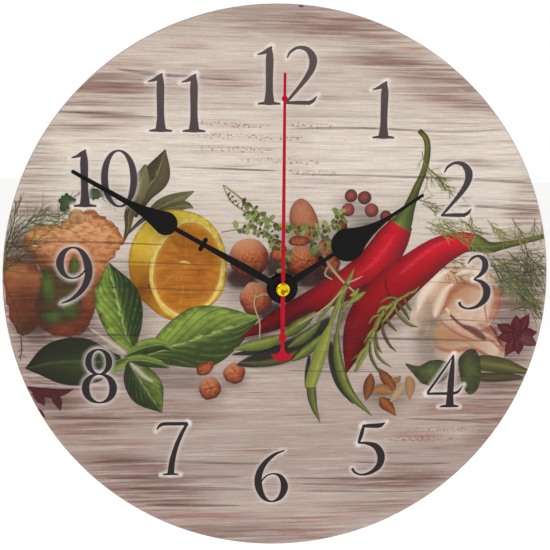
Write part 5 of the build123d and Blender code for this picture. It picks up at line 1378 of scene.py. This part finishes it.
def cap_gold():
    """Stamped cap plated bright yellow: a sharp glint in its dish, with faint turning marks."""
    made, tree, shader = blank("Bright gold-plated cap")
    here = add(tree, "ShaderNodeSeparateXYZ",
        {"Vector": add(tree, "ShaderNodeTexCoord").outputs["Object"]})
    ring = add(tree, "ShaderNodeCombineXYZ", {"X": here.outputs["X"], "Z": here.outputs["Z"]})
    out = add(tree, "ShaderNodeVectorMath", {0: ring}, operation="LENGTH")
    turned = add(tree, "ShaderNodeMath", {0: out, 1: 0.2 * MM}, operation="PINGPONG")
    marks = add(tree, "ShaderNodeTexNoise", {"Vector": place(tree, (0.8, 0.8, 0.8)), "Scale": 1.0,
        "Detail": 3.0})
    colour = stops(add(tree, "ShaderNodeValToRGB", {"Fac": marks}),
        [(0.35, "#C79A10"), (0.6, "#E8C71E")])
    gloss = add(tree, "ShaderNodeMapRange", {"Value": marks, "To Min": 0.16, "To Max": 0.3})
    bump = add(tree, "ShaderNodeBump", {"Height": turned, "Strength": 0.2, "Distance": 0.01 * MM})
    feed(tree, shader, {"Base Color": colour, "Roughness": gloss, "Normal": bump.outputs["Normal"],
        "Metallic": 1.0})
    return made


def finish_cad(settings):
    """Gives every CAD node the finish of its material slot."""
    special = {
        "board_fibre": board_fibre,
        "battery_wrap": lambda: battery_wrap(settings),
        "winding_copper": winding_copper,
        "cap_brass": cap_gold,
    }
    chosen = {"hand_black": settings.hands, "hand_red": settings.second_hand,
        "case_black": settings.case}
    made = {}
    for row in frame["record"]["subparts"]:
        slot, piece = row["material_slot"], frame["nodes"][row["node"]]
        if slot == "printed_film":
            continue
        if slot not in made and slot in special:
            made[slot] = special[slot]()
        elif slot not in made:
            name, base, *rest = COATS[slot]
            colour = (*chosen[slot], 1.0) if slot in chosen else linear(base)
            made[slot] = coated(name, colour, *rest)
        piece.data.materials.clear()
        piece.data.materials.append(made[slot])
    bare = [n for n, o in frame["nodes"].items() if not o.data.materials or o.data.materials[
        0] is None]
    if bare:
        raise RuntimeError(f"no finish for {bare}")


# ---------------------------------------------------------------- stage


def make_stage(settings):
    """A pale floor, soft light all round and the camera."""
    scene = bpy.context.scene
    scene.view_settings.view_transform = "Standard"
    floor = bmesh.new()
    bmesh.ops.create_grid(floor, x_segments=1, y_segments=1, size=40.0,
        matrix=Matrix.Translation((0, 0, -0.4)))
    mesh = bpy.data.meshes.new("floor")
    floor.to_mesh(mesh)
    floor.free()
    sheet = bpy.data.objects.new("floor", mesh)
    scene.collection.objects.link(sheet)
    made, tree, shader = blank("Pale studio floor")
    wash = add(tree, "ShaderNodeTexNoise", {"Vector": place(tree, (400, 400, 400)), "Scale": 1.0})
    feed(tree, shader, {"Base Color": stops(add(tree, "ShaderNodeValToRGB", {"Fac": wash}),
        [(0.3, "#F4F3F1"), (0.7, "#FAFAF9")]), "Roughness": 0.9})
    # the far floor is lifted to the brightness of the room behind it
    lift = add(tree, "ShaderNodeLightPath")
    feed(tree, shader, {"Emission Strength": lift.outputs["Is Camera Ray"],
        "Emission Color": (settings.floor_lift,) * 3 + (1.0,)})
    mesh.materials.append(made)

    world = bpy.data.worlds.new("Studio")
    scene.world = world
    world.use_nodes = True
    tree = world.node_tree
    tree.nodes.clear()
    # the room is brighter behind and beside the clock than in front of it
    way = add(tree, "ShaderNodeSeparateXYZ",
        {"Vector": add(tree, "ShaderNodeTexCoord").outputs["Generated"]})
    fall = add(tree, "ShaderNodeMapRange", {"Value": way.outputs["Y"], "From Min": -0.9,
        "From Max": 0.3, "To Min": settings.front_glow, "To Max": 1.0})
    seen = add(tree, "ShaderNodeLightPath")
    power = add(tree, "ShaderNodeMath", {0: fall, 1: seen.outputs["Is Camera Ray"]},
        operation="MAXIMUM")
    sky = add(tree, "ShaderNodeBackground", {"Color": linear("#FFFFFF"), "Strength": power})
    add(tree, "ShaderNodeOutputWorld", {"Surface": sky})

    for name, spot, size, power in (("key", (-0.9, -1.0, 1.1), 1.2, settings.key_power),
            ("fill", (1.2, -0.9, 0.4), 1.4, settings.fill_power)):
        data = bpy.data.lights.new(name, "AREA")
        data.size, data.energy = size, power
        lamp = bpy.data.objects.new(name, data)
        scene.collection.objects.link(lamp)
        lamp.location = spot
        lamp.rotation_euler = (Vector((0, 0, 0)) - Vector(spot)).to_track_quat("-Z", "Y").to_euler()

    data = bpy.data.cameras.new("camera")
    camera = bpy.data.objects.new("camera", data)
    scene.collection.objects.link(camera)
    scene.camera = camera
    data.sensor_width, data.lens = 36.0, settings.lens
    data.clip_start, data.clip_end = 0.01, 50
    yaw, pitch, roll = settings.yaw, settings.pitch, settings.roll
    ahead = Vector((math.sin(yaw) * math.cos(pitch), math.cos(yaw) * math.cos(pitch),
        math.sin(pitch)))
    right = ahead.cross(Vector((0, 0, 1))).normalized()
    top = right.cross(ahead)
    side = right * math.cos(roll) + top * math.sin(roll)
    up = top * math.cos(roll) - right * math.sin(roll)
    turn = Matrix((side, up, -ahead)).transposed().to_4x4()
    camera.matrix_world = Matrix.Translation(settings.camera_place) @ turn


# ---------------------------------------------------------------- add-on


class ClockPrint(bpy.types.PropertyGroup):
    """Sizes and colours of the printed face."""

    bare_wood: bpy.props.FloatVectorProperty(name="Bare wood",
        description="Wood that shows through the whitewash", subtype="COLOR", size=3, min=0, max=1,
        default=linear("#9C7F76")[:3])
    chalk: bpy.props.FloatVectorProperty(name="Chalk",
        description="The palest brush marks of the whitewash", subtype="COLOR", size=3, min=0,
        max=1, default=linear("#E2DAD1")[:3])
    glow_width: bpy.props.FloatProperty(name="Glow width",
        description="How far the pale glow reaches past a numeral's edge", unit="LENGTH",
        default=3.0 * MM)


class ClockFinishes(bpy.types.PropertyGroup):
    """Colours of the coated parts."""

    hands: bpy.props.FloatVectorProperty(name="Hands",
        description="Enamel of the hour and minute hands", subtype="COLOR", size=3, min=0, max=1,
        default=linear("#060607")[:3])
    second_hand: bpy.props.FloatVectorProperty(name="Second hand",
        description="Enamel of the second hand", subtype="COLOR", size=3, min=0, max=1,
        default=linear("#B20522")[:3])
    case: bpy.props.FloatVectorProperty(name="Case", description="Plastic of the movement's case",
        subtype="COLOR", size=3, min=0, max=1, default=linear("#1D1E20")[:3])
    battery: bpy.props.FloatVectorProperty(name="Battery sleeve",
        description="The longer band of the battery's sleeve", subtype="COLOR", size=3, min=0,
        max=1, default=linear("#23262B")[:3])


class ClockStudio(bpy.types.PropertyGroup):
    """The camera's place and the light."""

    camera_place: bpy.props.FloatVectorProperty(name="Camera place",
        description="Where the camera stands", subtype="TRANSLATION", size=3,
        default=(-0.0335, -0.4293, 0.0626))
    yaw: bpy.props.FloatProperty(name="Yaw", description="How far the camera turns to the right",
        subtype="ANGLE", default=0.0728)
    pitch: bpy.props.FloatProperty(name="Pitch", description="How far the camera looks up",
        subtype="ANGLE", default=-0.1357)
    roll: bpy.props.FloatProperty(name="Roll", description="How far the camera leans",
        subtype="ANGLE", default=0.0081)
    lens: bpy.props.FloatProperty(name="Lens", description="Focal length on a 36 mm sensor",
        default=49.41)
    front_glow: bpy.props.FloatProperty(name="Front glow",
        description="How bright the room is in front of the clock", default=0.25)
    floor_lift: bpy.props.FloatProperty(name="Floor lift",
        description="How much brighter the floor looks than the light on it", default=0.22)
    key_power: bpy.props.FloatProperty(name="Key light",
        description="Power of the light at the upper left", unit="POWER", default=16.0)
    fill_power: bpy.props.FloatProperty(name="Fill light",
        description="Power of the light at the right", unit="POWER", default=9.0)


class CLOCK_OT_stage(bpy.types.Operator):
    """Sets up the floor, light and camera."""

    bl_idname = "clock.stage"
    bl_label = "Stage"

    def execute(self, context):
        make_stage(context.scene.clock_studio)
        return {"FINISHED"}


class CLOCK_OT_finishes(bpy.types.Operator):
    """Gives the movement, hands and board their finishes."""

    bl_idname = "clock.finishes"
    bl_label = "Finishes"

    def execute(self, context):
        finish_cad(context.scene.clock_finishes)
        return {"FINISHED"}


class CLOCK_OT_boards(bpy.types.Operator):
    """Prints the whitewashed boards."""

    bl_idname = "clock.boards"
    bl_label = "Boards"

    def execute(self, context):
        make_boards(context.scene.clock_print)
        return {"FINISHED"}


class CLOCK_OT_citrus(bpy.types.Operator):
    """Prints the citrus half."""

    bl_idname = "clock.citrus"
    bl_label = "Citrus"

    def execute(self, context):
        make_citrus()
        return {"FINISHED"}


class CLOCK_OT_ginger(bpy.types.Operator):
    """Prints the ginger and its leaf."""

    bl_idname = "clock.ginger"
    bl_label = "Ginger"

    def execute(self, context):
        make_ginger()
        return {"FINISHED"}


class CLOCK_OT_sage(bpy.types.Operator):
    """Prints the sage leaves."""

    bl_idname = "clock.sage"
    bl_label = "Sage"

    def execute(self, context):
        make_sage()
        return {"FINISHED"}


class CLOCK_OT_garlic(bpy.types.Operator):
    """Prints the garlic."""

    bl_idname = "clock.garlic"
    bl_label = "Garlic"

    def execute(self, context):
        make_garlic()
        return {"FINISHED"}


class CLOCK_OT_basil(bpy.types.Operator):
    """Prints the basil."""

    bl_idname = "clock.basil"
    bl_label = "Basil"

    def execute(self, context):
        make_basil()
        return {"FINISHED"}


class CLOCK_OT_spices(bpy.types.Operator):
    """Prints the star anise, seeds and bay."""

    bl_idname = "clock.spices"
    bl_label = "Spices"

    def execute(self, context):
        make_spices()
        return {"FINISHED"}


class CLOCK_OT_nuts(bpy.types.Operator):
    """Prints the nuts."""

    bl_idname = "clock.nuts"
    bl_label = "Nuts"

    def execute(self, context):
        make_nuts()
        return {"FINISHED"}


class CLOCK_OT_berries(bpy.types.Operator):
    """Prints the berries."""

    bl_idname = "clock.berries"
    bl_label = "Berries"

    def execute(self, context):
        make_peppercorns()
        return {"FINISHED"}


class CLOCK_OT_chillies(bpy.types.Operator):
    """Prints the chillies."""

    bl_idname = "clock.chillies"
    bl_label = "Chillies"

    def execute(self, context):
        make_chillies()
        return {"FINISHED"}


class CLOCK_OT_pods(bpy.types.Operator):
    """Prints the bean pods."""

    bl_idname = "clock.pods"
    bl_label = "Pods"

    def execute(self, context):
        make_pods()
        return {"FINISHED"}


class CLOCK_OT_rosemary(bpy.types.Operator):
    """Prints the rosemary."""

    bl_idname = "clock.rosemary"
    bl_label = "Rosemary"

    def execute(self, context):
        make_rosemary()
        return {"FINISHED"}


class CLOCK_OT_dill(bpy.types.Operator):
    """Prints the dill and dark herbs."""

    bl_idname = "clock.dill"
    bl_label = "Dill"

    def execute(self, context):
        make_dill()
        return {"FINISHED"}


class CLOCK_OT_thyme(bpy.types.Operator):
    """Prints the thyme."""

    bl_idname = "clock.thyme"
    bl_label = "Thyme"

    def execute(self, context):
        make_thyme()
        return {"FINISHED"}


class CLOCK_OT_joints(bpy.types.Operator):
    """Prints the joints between boards."""

    bl_idname = "clock.joints"
    bl_label = "Joints"

    def execute(self, context):
        make_joints()
        return {"FINISHED"}


class CLOCK_OT_numerals(bpy.types.Operator):
    """Prints the numerals and their glow."""

    bl_idname = "clock.numerals"
    bl_label = "Numerals"

    def execute(self, context):
        make_numerals(context.scene.clock_print)
        return {"FINISHED"}


# in the order that they run
STEPS = [
    CLOCK_OT_stage,
    CLOCK_OT_finishes,
    CLOCK_OT_boards,
    CLOCK_OT_citrus,
    CLOCK_OT_ginger,
    CLOCK_OT_sage,
    CLOCK_OT_garlic,
    CLOCK_OT_basil,
    CLOCK_OT_spices,
    CLOCK_OT_nuts,
    CLOCK_OT_berries,
    CLOCK_OT_chillies,
    CLOCK_OT_pods,
    CLOCK_OT_rosemary,
    CLOCK_OT_dill,
    CLOCK_OT_thyme,
    CLOCK_OT_joints,
    CLOCK_OT_numerals,
]


class CLOCK_PT_panel(bpy.types.Panel):
    """Lists the steps that make the clock."""

    bl_label = "Printed wall clock"
    bl_idname = "CLOCK_PT_panel"
    bl_space_type = "VIEW_3D"
    bl_region_type = "UI"
    bl_category = "Clock"

    def draw(self, context):
        for step in STEPS:
            self.layout.operator(step.bl_idname)


CLASSES = [ClockPrint, ClockFinishes, ClockStudio, *STEPS, CLOCK_PT_panel]


def register():
    for made in CLASSES:
        bpy.utils.register_class(made)
    bpy.types.Scene.clock_print = bpy.props.PointerProperty(type=ClockPrint)
    bpy.types.Scene.clock_finishes = bpy.props.PointerProperty(type=ClockFinishes)
    bpy.types.Scene.clock_studio = bpy.props.PointerProperty(type=ClockStudio)


def unregister():
    del bpy.types.Scene.clock_studio
    del bpy.types.Scene.clock_finishes
    del bpy.types.Scene.clock_print
    for made in reversed(CLASSES):
        bpy.utils.unregister_class(made)


def main():
    register()
    for step in STEPS:
        group, name = step.bl_idname.split(".")
        getattr(getattr(bpy.ops, group), name)()


if __name__ == "__main__":
    main()
